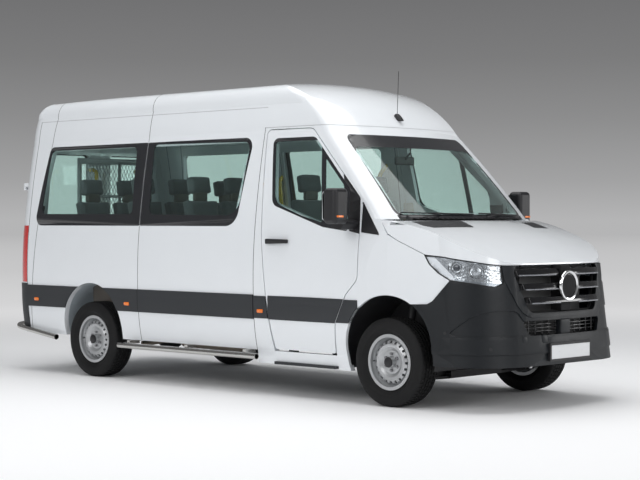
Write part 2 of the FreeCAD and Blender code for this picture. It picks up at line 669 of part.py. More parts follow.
def tyre():
    """Left tyre about the origin: an open carcass on the rim's bead seat."""
    half = TYRE_W / 2
    outer = [(RIM_R, -82), (RIM_R + 22, -84), (RIM_R + 60, -half), (TYRE_R - 45, -half + 2),
             (TYRE_R - 12, -half + 16), (TYRE_R, -half + 40), (TYRE_R, half - 40),
             (TYRE_R - 12, half - 16), (TYRE_R - 45, half - 2), (RIM_R + 60, half),
             (RIM_R + 22, 84), (RIM_R, 82)]
    w = TYRE_WALL
    inner = [(RIM_R, 60), (RIM_R + 26, 84 - w), (RIM_R + 60, half - w), (TYRE_R - 50, half - w),
             (TYRE_R - w - 2, half - 44), (TYRE_R - w - 2, -half + 44), (TYRE_R - 50, -half + w),
             (RIM_R + 60, -half + w), (RIM_R + 26, -84 + w), (RIM_R, -60)]
    return revolve_y(outer + inner)


def rim():
    """Left steel wheel about the origin, with its vent holes, hub and brake disc."""
    barrel = [(RIM_R, -82), (RIM_R, 82), (RIM_R + 17, 84), (RIM_R + 17, 89), (RIM_R - 8, 89),
              (RIM_R - 8, 60), (RIM_R - 26, 30), (RIM_R - 26, -30), (RIM_R - 8, -60),
              (RIM_R - 8, -89), (RIM_R + 17, -89), (RIM_R + 17, -84)]
    disc = [(RIM_R - 25, 22), (RIM_R - 25, 36), (165, 62), (140, 76), (118, 74), (100, 62), (92, 56),
            (45, 56), (45, 44), (92, 44), (104, 50), (120, 62), (138, 64), (156, 52), (172, 22)]
    wheel = revolve_y(barrel).fuse(revolve_y(disc))
    slots = []
    for i in range(20):
        a = math.radians(18 * i)
        x, z = 158 * math.cos(a), 158 * math.sin(a)
        slots.append(Part.makeCylinder(11, 90, V(x, 20, z), V(0, 1, 0)))
    wheel = wheel.cut(Part.makeCompound(slots))
    hub = revolve_y([(STUB_R + RUN_GAP, -50), (62, -50), (62, -30), (80, -26), (80, 44), (46, 44), (44, 92),
                     (0, 98), (0, 84), (STUB_R + RUN_GAP, 84)])
    disc_brake = revolve_y([(78, -38), (150, -38), (150, -26), (78, -26)])
    wheel = wheel.fuse([hub, disc_brake])
    holes = []
    for i in range(6):
        a = math.radians(60 * i + 30)
        holes.append(Part.makeCylinder(7.5, 60, V(65 * math.cos(a), 8, 65 * math.sin(a)), V(0, 1, 0)))
    return wheel.cut(Part.makeCompound(holes)).removeSplitter()


def wheel_at(shape, x, side):
    """A left wheel piece moved to its axle; the right one is turned round."""
    placed = shape.copy()
    if side < 0:
        placed = mirrored(placed)
    placed.translate(V(x, side * WHEEL_Y, TYRE_R))
    return placed


def king_point(z):
    """Point on the left kingpin axis at a height."""
    s = (z - KING_LOW[2]) / (KING_HIGH[2] - KING_LOW[2])
    return tuple(a + (b - a) * s for a, b in zip(KING_LOW, KING_HIGH))


def leaning_web(half, ends):
    """Web between two level rectangles, each given as y from, y to and height."""
    wires = [Part.makePolygon([V(-half, a, z), V(half, a, z), V(half, b, z), V(-half, b, z),
                               V(-half, a, z)]) for a, b, z in ends]
    return Part.makeLoft(wires, True, True)


def knuckle():
    """Left steering knuckle: two bosses on the kingpin axis, stub axle, arm and caliper."""
    low = rod(king_point(218), king_point(262), 27)
    high = rod(king_point(470), king_point(560), 30)
    web = box(-24, 24, 716, 752, 250, 478)
    lean = leaning_web(22, ((728, 770, 240), (716, 752, 330)))
    upper = leaning_web(24, ((716, 752, 400), (690, 732, 500)))
    carrier = rod((0, 716, TYRE_R), (0, 792, TYRE_R), 52)
    stub = rod((0, 780, TYRE_R), (0, WHEEL_Y + 78, TYRE_R), STUB_R)
    arm = box(-170, -10, 700, 724, 300, 330)
    caliper = box(-182, -96, 778, 868, 300, 420)
    disc_room = rod((0, WHEEL_Y - 46, TYRE_R), (0, WHEEL_Y - 18, TYRE_R), 158)
    inside = rod((0, WHEEL_Y - 20, TYRE_R), (0, WHEEL_Y + 60, TYRE_R), 92)
    caliper = caliper.common(rod((0, 700, TYRE_R), (0, WHEEL_Y + 9, TYRE_R), 168)).cut(disc_room).cut(inside)
    bracket = box(-110, 0, 744, 790, 326, 374)
    body = fused(low, high, web, lean, upper, carrier, stub, arm, bracket, caliper)
    body = body.cut(rod(king_point(205), king_point(256), PIN_R + RUN_GAP))
    return body.cut(rod(king_point(440), king_point(570), ROD_R + RUN_GAP))


def front_subframe():
    """Crossmember, lower arms with ball pins, struts and steering rack."""
    legs = [box(-120, 60, s * RAIL_Y - 20, s * RAIL_Y + 20, 240, RAIL_Z0) for s in (-1, 1)]
    cross = box(-180, 120, -330, 330, 190, 250).fuse([
        box(-120, 60, -RAIL_Y - 20, RAIL_Y + 20, 190, 245)] + legs)
    arm = Part.Face(Part.makePolygon([V(-150, 320, 186), V(100, 320, 186), V(26, 760, 186), V(-26, 760, 186),
                                      V(-150, 320, 186)])).extrude(V(0, 0, 20))
    eye = rod((0, KING_LOW[1] + 3, 186), (0, KING_LOW[1] + 3, 206), 26)
    pin = rod(king_point(196), king_point(250), PIN_R)
    foot = box(-150, 100, 318, 336, 186, 230)
    rack = rod((-210, -300, 300), (-210, 300, 300), 30)
    brackets = box(-214, -170, -60, -20, 230, 290).fuse(box(-214, -170, 20, 60, 230, 290))
    tube = rod(king_point(572), king_point(800), 30)
    rod_low = rod(king_point(476), king_point(600), ROD_R)
    top = rod(king_point(795), king_point(868), 56).common(front_arch(ARCH_FRONT_R, 0, 1100))
    left = [arm.fuse([eye, pin, foot]), tube.fuse([rod_low, top])]
    side = left + [mirrored(s) for s in left]
    return fused(cross, rack, brackets, side[0], side[2]), side[1], side[3]


def rear_axle():
    """Live axle, leaf springs, dampers and propeller shaft."""
    x = -WHEELBASE
    z = TYRE_R
    tube = rod((x, -WHEEL_Y + 90, z), (x, WHEEL_Y - 90, z), 46)
    case = Part.makeSphere(150, V(x, 0, z)).common(box(x - 150, x + 150, -150, 150, z - 128, z + 128))
    nose = Part.makeCone(90, 48, 150, V(x + 90, 0, z), V(1, 0, 0))
    stubs = [rod((x, s * (WHEEL_Y - 95), z), (x, s * (WHEEL_Y + 78), z), STUB_R) for s in (-1, 1)]
    spring = side_spring()
    shaft = rod((x + 230, 0, z), (-900, 0, 470), 38)
    joint = Part.makeSphere(52, V(x + 236, 0, z))
    damper = rod((x - 60, 560, z - 20), (x - 330, 470, 585), 28)
    parts = [tube, case, nose, shaft, joint] + stubs + [spring, mirrored(spring), damper, mirrored(damper)]
    rails = pair(box(stn(-4700), -1500, RAIL_Y - RAIL_W, RAIL_Y + RAIL_W / 2, RAIL_Z0, 700))
    return fused(*parts).cut(fused(*rails)).cut(gearbox())


def side_spring():
    """Left leaf spring, two leaves thick at the axle, with its hangers on the rail."""
    x = -WHEELBASE
    y0, y1 = 508, 578
    low, thick = 398, 34

    def leaf(half, base, t):
        wire = Part.Wire([
            Part.Arc(V(x - half, y0, base + 70 * (half / 640) ** 2), V(x, y0, base),
                     V(x + half, y0, base + 70 * (half / 640) ** 2)).toShape(),
            Part.LineSegment(V(x + half, y0, base + 70 * (half / 640) ** 2),
                             V(x + half, y0, base + 70 * (half / 640) ** 2 + t)).toShape(),
            Part.Arc(V(x + half, y0, base + 70 * (half / 640) ** 2 + t), V(x, y0, base + t),
                     V(x - half, y0, base + 70 * (half / 640) ** 2 + t)).toShape(),
            Part.LineSegment(V(x - half, y0, base + 70 * (half / 640) ** 2 + t),
                             V(x - half, y0, base + 70 * (half / 640) ** 2)).toShape()])
        return Part.Face(wire).extrude(V(0, y1 - y0, 0))
    long_leaf = leaf(640, low + 16, 18)
    short_leaf = leaf(380, low, 17)
    pad = box(x - 60, x + 60, y0, y1, TYRE_R + 20, low + 4)
    hangers = []
    for s in (-1, 1):
        hangers.append(box(x + s * 640 - 25, x + s * 640 + 25, RAIL_Y + RAIL_W / 2, y1, low + 80, low + 150))
    return fused(long_leaf, short_leaf, pad, *hangers)


def engine():
    """One closed block for engine and gearbox at their real place."""
    block = box(ENGINE_X, 560, -270, 270, 430, 1060)
    sump = box(-150, 130, -180, 180, 262, 431)
    mount_pads = [box(60, 180, s * 330 - 65, s * 330 + 65, 520, 560) for s in (-1, 1)]
    return fused(block, gearbox(), sump, *mount_pads)


def gearbox():
    return box(-900, ENGINE_X + 1, -150, 150, 400, FLOOR_Z - FLOOR_T - 10)


def radiator():
    return box(775, 850, -400, 400, 590, 1060)


def fuel_tank():
    tank = box(stn(-2850), stn(-1900), 475, 850, 340, 600)
    tank = tank.makeFillet(40, [e for e in tank.Edges if abs(e.tangentAt(e.FirstParameter).x) > 0.9])
    return fused(tank, *[box(stn(x), stn(x) + 40, RAIL_Y + RAIL_W / 2, 520, 520, FLOOR_Z - FLOOR_T)
                         for x in (-2700, -2100)])


def exhaust():
    """Pipe and silencer down the right side, ending ahead of the rear wheel."""
    run = pipe([(ENGINE_X, -220, 480), (-240, -220, 420), (-700, -250, 380), (stn(-1750), -560, 370),
                (stn(-2000), -600, 370)], 120, 28).cut(box(ENGINE_X, 200, -300, -150, 400, 560))
    can = rod((stn(-2750), -600, 400), (stn(-1950), -600, 400), 100)
    tail = pipe([(stn(-2740), -600, 380), (stn(-3000), -620, 360), (stn(-3080), -860, 330)], 90, 26)
    hangers = [box(stn(x), stn(x) + 30, -620, -580, 480, FLOOR_Z - FLOOR_T) for x in (-2650, -2100)]
    return fused(run, can, tail, *hangers)


# ------------------------------------------------------------------ outside fittings
def rear_stays():
    """Bars that carry the rear tube, through the rear panel."""
    return [box(stn(TAIL_X) + TUBE_R + 10, stn(-4600), y - 15, y + 15, 420, 456) for y in (-560, 560)]


def step_tubes():
    """Side step tubes and the tube round the rear corners, open at their ends."""
    side = rod((stn(-3205), -1030, 322), (-1402, -1030, 322), TUBE_R)
    side = side.cut(rod((stn(-3206), -1030, 322), (-1401, -1030, 322), TUBE_R - TUBE_T))
    lugs = [box(stn(x) - 20, stn(x) + 20, -1020, -905, 340, SILL_Z) for x in (-3080, -2300, -1560)]
    whole = fused(side, *lugs)
    bore = rod((stn(-3206), -1030, 322), (-1401, -1030, 322), TUBE_R - TUBE_T)
    parts = pair(whole.cut(bore))
    tail = stn(TAIL_X) + TUBE_R
    route = [(stn(-4172), -1000, 347), (tail, -985, 438), (tail, 985, 438), (stn(-4172), 1000, 347)]
    rear = pipe(route, 190, TUBE_R, TUBE_T)
    stays = rear_stays()
    for y in (-560, 560):
        stays.append(box(stn(-4640), stn(-4600), y - 15, y + 15, 420, FLOOR_Z - FLOOR_T))
    side_lugs = pair(box(stn(-4420), stn(-4380), -1000, -905, SILL_Z - 14, SILL_Z))
    hollow = pipe(route, 190, TUBE_R - TUBE_T)
    rear = fused(rear, *stays, *side_lugs).cut(hollow)
    return parts + [rear]


def number_plate():
    """Front plate on its holder, with the two screw holes."""
    holder = box(1000, NOSE_X - 3, -264, 264, 384, 506).cut(OUTER.copy())
    plate = box(NOSE_X - 4, NOSE_X, -260, 260, 390, 500)
    whole = fused(max(holder.Solids, key=lambda part: part.Volume), plate)
    for y in (-PLATE_SCREWS / 2, PLATE_SCREWS / 2):
        whole = whole.cut(rod((NOSE_X - 12, y, 445), (NOSE_X + 1, y, 445), 3))
    return whole


def mouldings():
    """Dark protective strips on the root body, rear corner covers and steps."""
    band = ring(POST_X, B_SEAM_X, -STRIP_T, 0).common(
        box(stn(POST_X), B_SEAM_X, -1100, 0, STRIP_Z0, STRIP_Z1))
    band = band.cut(rear_arch(ARCH_REAR_R, -1100, 0))
    corner = tail_form(-STRIP_T).cut(tail_form(0)).common(box(stn(-4900), stn(POST_X), -1100, -500, 400, 850))
    corner = corner.cut(box(stn(-4900), stn(POST_X) + 1, -850, 0, 0, 1000))
    step = box(-1255, -560, -966, -700, 262, 285)
    stays = [box(x, x + 50, -850, -780, 285, 420) for x in (-1200, -700)]
    return pair(fused(band, corner)) + pair(fused(step, *stays))


def tail_lamp_zone():
    return box(stn(-4900), stn(-4648), -1100, -850, 860, 1409)


def tail_lamps():
    """Tall lamps let into the rear corners."""
    return pair(SHELL.copy().common(tail_lamp_zone()))


# ------------------------------------------------------------------ inside
def seat(x, y, base_z, width=440):
    """One seat with its front edge at x: pedestal, cushion, back and boxy head rest."""
    half = width / 2
    cushion = box(x - 460, x, y - half, y + half, base_z + 300, base_z + 400)
    cushion = cushion.makeFillet(28, cushion.Edges)
    back = side_slab(x - 420, base_z + 355, x - 545, base_z + 1000, 95, y - half, y + half)
    head = side_slab(x - 536, base_z + 1012, x - 566, base_z + 1190, 110, y - 130, y + 130)
    posts = [rod((x - 585, y + s * 60, base_z + 980), (x - 590, y + s * 60, base_z + 1030), 8)
             for s in (-1, 1)]
    leg = box(x - 400, x - 60, y - half + 60, y + half - 60, base_z, base_z + 302)
    return fused(leg, cushion, back, head, *posts)


def side_slab(x0, z0, x1, z1, depth, y0, y1):
    """Leaning slab from (x0, z0) up to (x1, z1), depth backwards, with soft corners."""
    points = [(x0, z0, 20), (x1, z1, 30), (x1 - depth, z1, 30), (x0 - depth, z0, 20)]
    wire = rounded(points, lambda x, z: V(x, y0, z))
    slab = Part.Face(wire).extrude(V(0, y1 - y0, 0))
    return slab


def front_seats():
    return [seat(-760, s * 440, FLOOR_Z, 500) for s in (-1, 1)]


# columns: front edge x, y
SEAT_PLACES = [(-1950, -640), (-1950, -190), (-2720, -640), (-2720, -190), (-2990, 640), (-3490, -640),
               (-3490, -190)]


def passenger_seats():
    room = rear_arch(ARCH_REAR_R + LINER_T, REAR_LINER_Y - LINER_T, 1100)
    seats = [seat(stn(x), y, FLOOR_Z, 420) for x, y in SEAT_PLACES]
    return [s.cut(room).cut(mirrored(room)) for s in seats]


def dashboard():
    outline = [(-45, 900, 0), (-45, 1380, 0), (-180, 1400, 30), (-470, 1300, 40), (-520, 1190, 40),
               (-430, 1120, 40), (-400, 900, 20)]
    panel = side_prism(outline, -DOOR_DEPTH_Y + 15, DOOR_DEPTH_Y - 15)
    panel = panel.common(INNER.copy())
    console = box(-470, -45, -180, 180, FLOOR_Z, 1000).cut(front_arch(ARCH_FRONT_R + LINER_T, 400, 500))
    axis = column_axis()
    low = V(*STEER_AT) - axis * 430
    cover = rod(tuple(low), tuple(V(*STEER_AT) - axis * 60), 42)
    journal = rod(tuple(V(*STEER_AT) - axis * 80), tuple(V(*STEER_AT) - axis * 8), 10)
    return fused(panel, console, cover, journal)


def column_axis():
    a = math.radians(RAKE)
    return V(-math.sin(a), 0, math.cos(a))


def steering_wheel():
    axis = column_axis()
    centre = V(*STEER_AT)
    rim_ring = Part.makeTorus(188, 15, centre, axis)
    hub = Part.makeCylinder(62, 34, centre - axis * 40, axis)
    spokes = []
    across = V(0, 1, 0)
    down = axis.cross(across)
    for d in (across, across * -1, down):
        spokes.append(rod(tuple(centre - axis * 22 + d * 50), tuple(centre - axis * 4 + d * 184), 12))
    wheel = fused(rim_ring, hub, *spokes)
    return wheel.cut(Part.makeCylinder(10 + RUN_GAP, 60, centre - axis * 60, axis).common(
        Part.makeCylinder(30, 55, centre - axis * 60, axis)))


def lift():
    """Wheelchair lift standing folded inside the rear doors."""
    x = stn(-4560)
    top = 2080
    frame = [box(x - 20, x + 20, s * 410 - 20, s * 410 + 20, FLOOR_Z, top) for s in (-1, 1)]
    bars = [box(x - 15, x + 15, -400, 400, z - 15, z + 15) for z in (FLOOR_Z + 30, 1180, 1640, top - 15)]
    mesh = box(x - 6, x + 2, -395, 395, FLOOR_Z + 30, top - 20)
    towers = [box(x + 10, x + 130, s * 470 - 50, s * 470 + 50, FLOOR_Z, 1500) for s in (-1, 1)]
    return fused(mesh, *frame, *bars, *towers)


def handrails():
    """Yellow rails at the entry and on the lift."""
    x = stn(-4558)
    rails = []
    for y in (-300, 300):
        rails.append(pipe([(x, y, 1500), (x + 120, y, 1500), (x + 120, y, 1960), (x, y, 1960)], 60, 16))
    entry = pipe([(-1700, 700, FLOOR_Z), (-1700, 700, 1500), (-1620, 780, 1900),
                  (-1600, 880, 1990)], 120, 16)
    x = stn(MID_SEAM_X)
    wall = pipe([(x, 960, 1560), (x, 850, 1600), (x, 820, 1850), (x, 930, 1940)], 50, 16)
    inner = INNER.copy().common(box(stn(-3500), -1490, 400, 1100, FLOOR_Z, lvl(2200)))
    return rails + [entry.common(inner), wall.common(inner)]


# ------------------------------------------------------------------ everything
def main():
    os.makedirs("parts", exist_ok=True)
    wall, glass = side_wall()
    export("side_panel_right", wall)
    left_wall, left_glass = mirrored(wall), [mirrored(g) for g in glass]
    rear_left, entry = entry_door(left_wall)
    export("side_panel_left", rear_left)
    export("sliding_door_left", entry)
    quarter = [PANE.copy().common(side_prism(QUARTER, -1100, -500))]
    quarter.append(mirrored(quarter[0]))
    export("side_windows", *glass, *left_glass)
    screen = PANE.copy().common(front_prism(WINDSCREEN, -1300, 400))
    export("windscreen", screen)
    export("cab_frame", cab_frame(screen, quarter))
    export("roof", roof())
    export("rear_frame", rear_frame())
    leaf, leaf_glass = rear_leaf()
    export("rear_door_right", leaf)
    export("rear_door_left", mirrored(leaf))
    export("rear_door_glass_right", leaf_glass)
    export("rear_door_glass_left", mirrored(leaf_glass))
    door, door_glass = cab_door()
    export("front_door_right", door)
    export("front_door_left", mirrored(door))
    export("front_door_glass_right", door_glass)
    export("front_door_glass_left", mirrored(door_glass))
    mirror = door_mirror()
    export("mirror_right", mirror)
    export("mirror_left", mirrored(mirror))
    export("bonnet", bonnet())
    wing, lamp, bumper = nose_parts()
    export("wings", *pair(wing))
    export("headlamps", *pair(lamp))
    export("front_bumper", bumper)
    export("grille", grille())
    export("number_plate", number_plate())
    export("tail_lamps", *tail_lamps())
    export("floor", floor())
    export("front_liners", *front_liners())
    export("sill_covers", *sill_covers())
    export("frame_rails", frame_rails())
    export("tow_socket", tow_socket())
    export("mouldings", *mouldings())
    export("step_tubes", *step_tubes())
    export("front_suspension", *front_subframe())
    export("rear_axle", rear_axle())
    export("engine", engine(), radiator())
    export("fuel_tank", fuel_tank())
    export("exhaust", exhaust())
    left_knuckle = knuckle()
    export("knuckle_left", left_knuckle)
    export("knuckle_right", mirrored(left_knuckle))
    tyre_shape, rim_shape = tyre(), rim()
    for end, x in (("front", 0), ("rear", -WHEELBASE)):
        for name, side in (("left", 1), ("right", -1)):
            export("tyre_%s_%s" % (end, name), wheel_at(tyre_shape, x, side))
            export("wheel_%s_%s" % (end, name), wheel_at(rim_shape, x, side))
    export("front_seats", *front_seats())
    export("passenger_seats", *passenger_seats())
    export("dashboard", dashboard())
    export("steering_wheel", steering_wheel())
    export("wheelchair_lift", lift())
    export("handrails", *handrails())


main()
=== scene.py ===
"""Minibus: the finish, trim and cabin that go round the jointed body."""

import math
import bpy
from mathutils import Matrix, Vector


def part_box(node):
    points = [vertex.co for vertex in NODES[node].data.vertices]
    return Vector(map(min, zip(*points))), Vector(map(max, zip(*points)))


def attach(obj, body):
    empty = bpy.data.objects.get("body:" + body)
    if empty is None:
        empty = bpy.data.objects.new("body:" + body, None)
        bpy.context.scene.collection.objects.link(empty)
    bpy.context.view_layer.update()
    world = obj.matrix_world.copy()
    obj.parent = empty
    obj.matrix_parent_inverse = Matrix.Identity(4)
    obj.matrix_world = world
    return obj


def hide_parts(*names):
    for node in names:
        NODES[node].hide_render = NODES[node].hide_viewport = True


bl_info = {
    "name": "Minibus",
    "version": (1, 0, 0),
    "blender": (4, 5, 0),
    "location": "3D View > Sidebar > Minibus",
    "description": "Finishes, trim, wheels and cabin of a high-roof minibus",
    "category": "Object",
}

import bpy
from mathutils import Matrix, Vector

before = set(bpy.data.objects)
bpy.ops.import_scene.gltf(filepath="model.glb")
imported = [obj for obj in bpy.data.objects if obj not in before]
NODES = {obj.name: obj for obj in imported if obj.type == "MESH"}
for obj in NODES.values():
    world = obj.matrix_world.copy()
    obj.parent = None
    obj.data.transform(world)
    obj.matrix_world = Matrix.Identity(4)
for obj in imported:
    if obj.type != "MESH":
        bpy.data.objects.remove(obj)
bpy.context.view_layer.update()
SIDES = (("right", -1), ("left", 1))
ENDS = ("front", "rear")

low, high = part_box("wheel_front_right")
AXLE_X = (low.x + high.x) / 2


def at(x, y, z):
    """A point given from the middle of the front axle, on the ground, as the frame has it."""
    return Vector((AXLE_X + x, y, z))


# ---------------------------------------------------------------- what a user may change
class BodySettings(bpy.types.PropertyGroup):
    paint: bpy.props.FloatVectorProperty(
        name="Paint", description="Colour of the body panels", subtype="COLOR", default=(0.805, 0.832, 0.858))
    trim: bpy.props.FloatVectorProperty(
        name="Trim", description="Colour of the bumper and side mouldings", subtype="COLOR",
        default=(0.022, 0.025, 0.029))
    glass: bpy.props.FloatVectorProperty(
        name="Glass", description="Tint of the panes", subtype="COLOR", default=(0.79, 0.865, 0.85))
    seam: bpy.props.FloatProperty(
        name="Seam", description="Width of the joints between panels", subtype="DISTANCE", unit="LENGTH",
        default=0.005, min=0.002, max=0.012)


class WheelSettings(bpy.types.PropertyGroup):
    pitches: bpy.props.IntProperty(
        name="Pitches", description="Tread blocks round each tyre", default=60, min=36, max=90)
    groove: bpy.props.FloatProperty(
        name="Groove", description="Depth of the tread grooves", subtype="DISTANCE", unit="LENGTH",
        default=0.007, min=0.002, max=0.012)
    silver: bpy.props.FloatVectorProperty(
        name="Silver", description="Colour of the wheels", subtype="COLOR", default=(0.50, 0.51, 0.52))


class CabinSettings(bpy.types.PropertyGroup):
    cloth: bpy.props.FloatVectorProperty(
        name="Cloth", description="Colour of the seat covers", subtype="COLOR", default=(0.095, 0.102, 0.108))
    rails: bpy.props.FloatVectorProperty(
        name="Rails", description="Colour of the grab rails", subtype="COLOR", default=(0.84, 0.56, 0.02))


class StageSettings(bpy.types.PropertyGroup):
    floor: bpy.props.FloatVectorProperty(
        name="Floor", description="Colour of the floor", subtype="COLOR", default=(0.95, 0.95, 0.953))
    lens: bpy.props.FloatProperty(
        name="Lens", description="Focal length of the camera", subtype="DISTANCE_CAMERA", default=92.5,
        min=20, max=200)


# ---------------------------------------------------------------- finishes
def add_node(mat, kind, **sockets):
    """A shader node whose settings and inputs are given by name."""
    made = mat.node_tree.nodes.new(kind)
    for key, value in sockets.items():
        if hasattr(made, key):
            setattr(made, key, value)
            continue
        numbered = key[0] == "i" and key[1:].isdigit()
        socket = made.inputs[int(key[1:]) if numbered else key.replace("_", " ")]
        if isinstance(value, bpy.types.NodeSocket):
            mat.node_tree.links.new(value, socket)
        else:
            socket.default_value = value
    return made


def link(mat, source, socket):
    mat.node_tree.links.new(source, socket)


def rgba(colour):
    return (*colour, 1)


def base_finish(name):
    """A new material, its shader and the place on the piece's own surface."""
    mat = bpy.data.materials.new(name)
    mat.use_nodes = True
    place = add_node(mat, "ShaderNodeTexCoord").outputs["Object"]
    return mat, mat.node_tree.nodes["Principled BSDF"], place


def surface(mat, shader):
    """Let shader be what the material shows."""
    link(mat, shader.outputs[0], mat.node_tree.nodes["Material Output"].inputs["Surface"])
    return mat


def tinted(mat, shader, share, dark, light):
    """Base colour that goes from dark to light as share does."""
    mix = add_node(mat, "ShaderNodeMix", data_type="RGBA", i0=share, i6=rgba(dark), i7=rgba(light))
    link(mat, mix.outputs[2], shader.inputs["Base Color"])


def ranged(mat, share, low, high):
    """A value that goes from low to high as share goes from 0 to 1."""
    return add_node(mat, "ShaderNodeMapRange", Value=share, To_Min=low, To_Max=high).outputs["Result"]


def embossed(mat, shader, height, strength, depth):
    """A fine relief that follows height."""
    relief = add_node(mat, "ShaderNodeBump", Height=height, Strength=strength, Distance=depth)
    link(mat, relief.outputs["Normal"], shader.inputs["Normal"])


def plain(mat, shader, **values):
    """Values that are the same all over the surface."""
    for name, value in values.items():
        shader.inputs[name.replace("_", " ")].default_value = value
    return mat


def finish(name, colour, rough, metal=0.0, coat=0.0, grain=400.0, depth=0.0006, strength=0.2, mottle=0.12,
           mottle_scale=6.0, kind="noise", gleam=0.5):
    """A surface with colour that drifts a little, uneven gloss and a fine relief."""
    mat, shader, place = base_finish(name)
    drift = add_node(mat, "ShaderNodeTexNoise", Vector=place, Scale=mottle_scale, Detail=5.0).outputs["Fac"]
    tinted(mat, shader, drift, [c * (1 - mottle) for c in colour],
           [min(c * (1 + mottle * 0.5), 1) for c in colour])
    link(mat, ranged(mat, drift, rough * 0.85, min(rough * 1.15, 1)), shader.inputs["Roughness"])
    if kind == "noise":
        fine = add_node(mat, "ShaderNodeTexNoise", Vector=place, Scale=grain, Detail=2.0).outputs["Fac"]
    else:
        fine = add_node(mat, "ShaderNodeTexVoronoi", Vector=place, Scale=grain).outputs["Distance"]
    embossed(mat, shader, fine, strength, depth)
    return plain(mat, shader, Metallic=metal, Specular_IOR_Level=gleam, Coat_Weight=coat, Coat_Roughness=0.04)


GLASS_IOR = 1.45


def pane_finish(name, tint, rough=0.02, haze=0.0):
    """Thin tinted glass: light goes straight through it, a little is scattered, and it shines more at a slant."""
    mat, shader, place = base_finish(name)
    mat.node_tree.nodes.remove(shader)
    clear = add_node(mat, "ShaderNodeBsdfTransparent", Color=rgba(tint))
    milky = add_node(mat, "ShaderNodeBsdfTranslucent", Color=(0.72, 0.92, 0.82, 1))
    body = add_node(mat, "ShaderNodeMixShader", i0=haze, i1=clear.outputs[0], i2=milky.outputs[0])
    streaks = add_node(mat, "ShaderNodeTexNoise", Vector=place, Scale=3.0, Detail=4.0).outputs["Fac"]
    gloss = add_node(mat, "ShaderNodeBsdfAnisotropic", Color=(1, 1, 1, 1),
                     Roughness=ranged(mat, streaks, rough * 0.6, rough * 1.6))
    facing = add_node(mat, "ShaderNodeNewGeometry").outputs["Backfacing"]
    slant = add_node(mat, "ShaderNodeFresnel", IOR=ranged(mat, facing, GLASS_IOR, 1 / GLASS_IOR))
    return surface(mat, add_node(mat, "ShaderNodeMixShader", i0=slant.outputs[0], i1=body.outputs[0],
                                 i2=gloss.outputs[0]))


def cloth_finish(name, colour, scale=900.0):
    """Woven cover: crossed threads, a soft sheen and slight wear."""
    mat, shader, place = base_finish(name)
    warp, weft = (add_node(mat, "ShaderNodeTexWave", Vector=place, Scale=scale, bands_direction=way,
                           Distortion=1.5).outputs["Fac"] for way in "YZ")
    weave = add_node(mat, "ShaderNodeMath", operation="MULTIPLY", i0=warp, i1=weft).outputs[0]
    worn = add_node(mat, "ShaderNodeTexNoise", Vector=place, Scale=9.0, Detail=6.0).outputs["Fac"]
    both = add_node(mat, "ShaderNodeMath", operation="MULTIPLY_ADD", i0=weave, i1=0.5, i2=worn)
    tinted(mat, shader, both.outputs[0], [c * 0.7 for c in colour], [c * 1.5 for c in colour])
    embossed(mat, shader, weave, 0.35, 0.0008)
    return plain(mat, shader, Roughness=0.9, Sheen_Weight=0.3)


def brushed_finish(name, colour, rough):
    """Drawn or brushed metal with fine lines along it."""
    mat, shader, place = base_finish(name)
    along = add_node(mat, "ShaderNodeMapping", Vector=place, Scale=(4, 300, 300)).outputs[0]
    lines = add_node(mat, "ShaderNodeTexNoise", Vector=along, Scale=3.0, Detail=4.0).outputs["Fac"]
    link(mat, ranged(mat, lines, rough * 0.6, rough * 1.5), shader.inputs["Roughness"])
    tinted(mat, shader, lines, [c * 0.85 for c in colour], colour)
    embossed(mat, shader, lines, 0.1, 0.0003)
    return plain(mat, shader, Metallic=1.0)


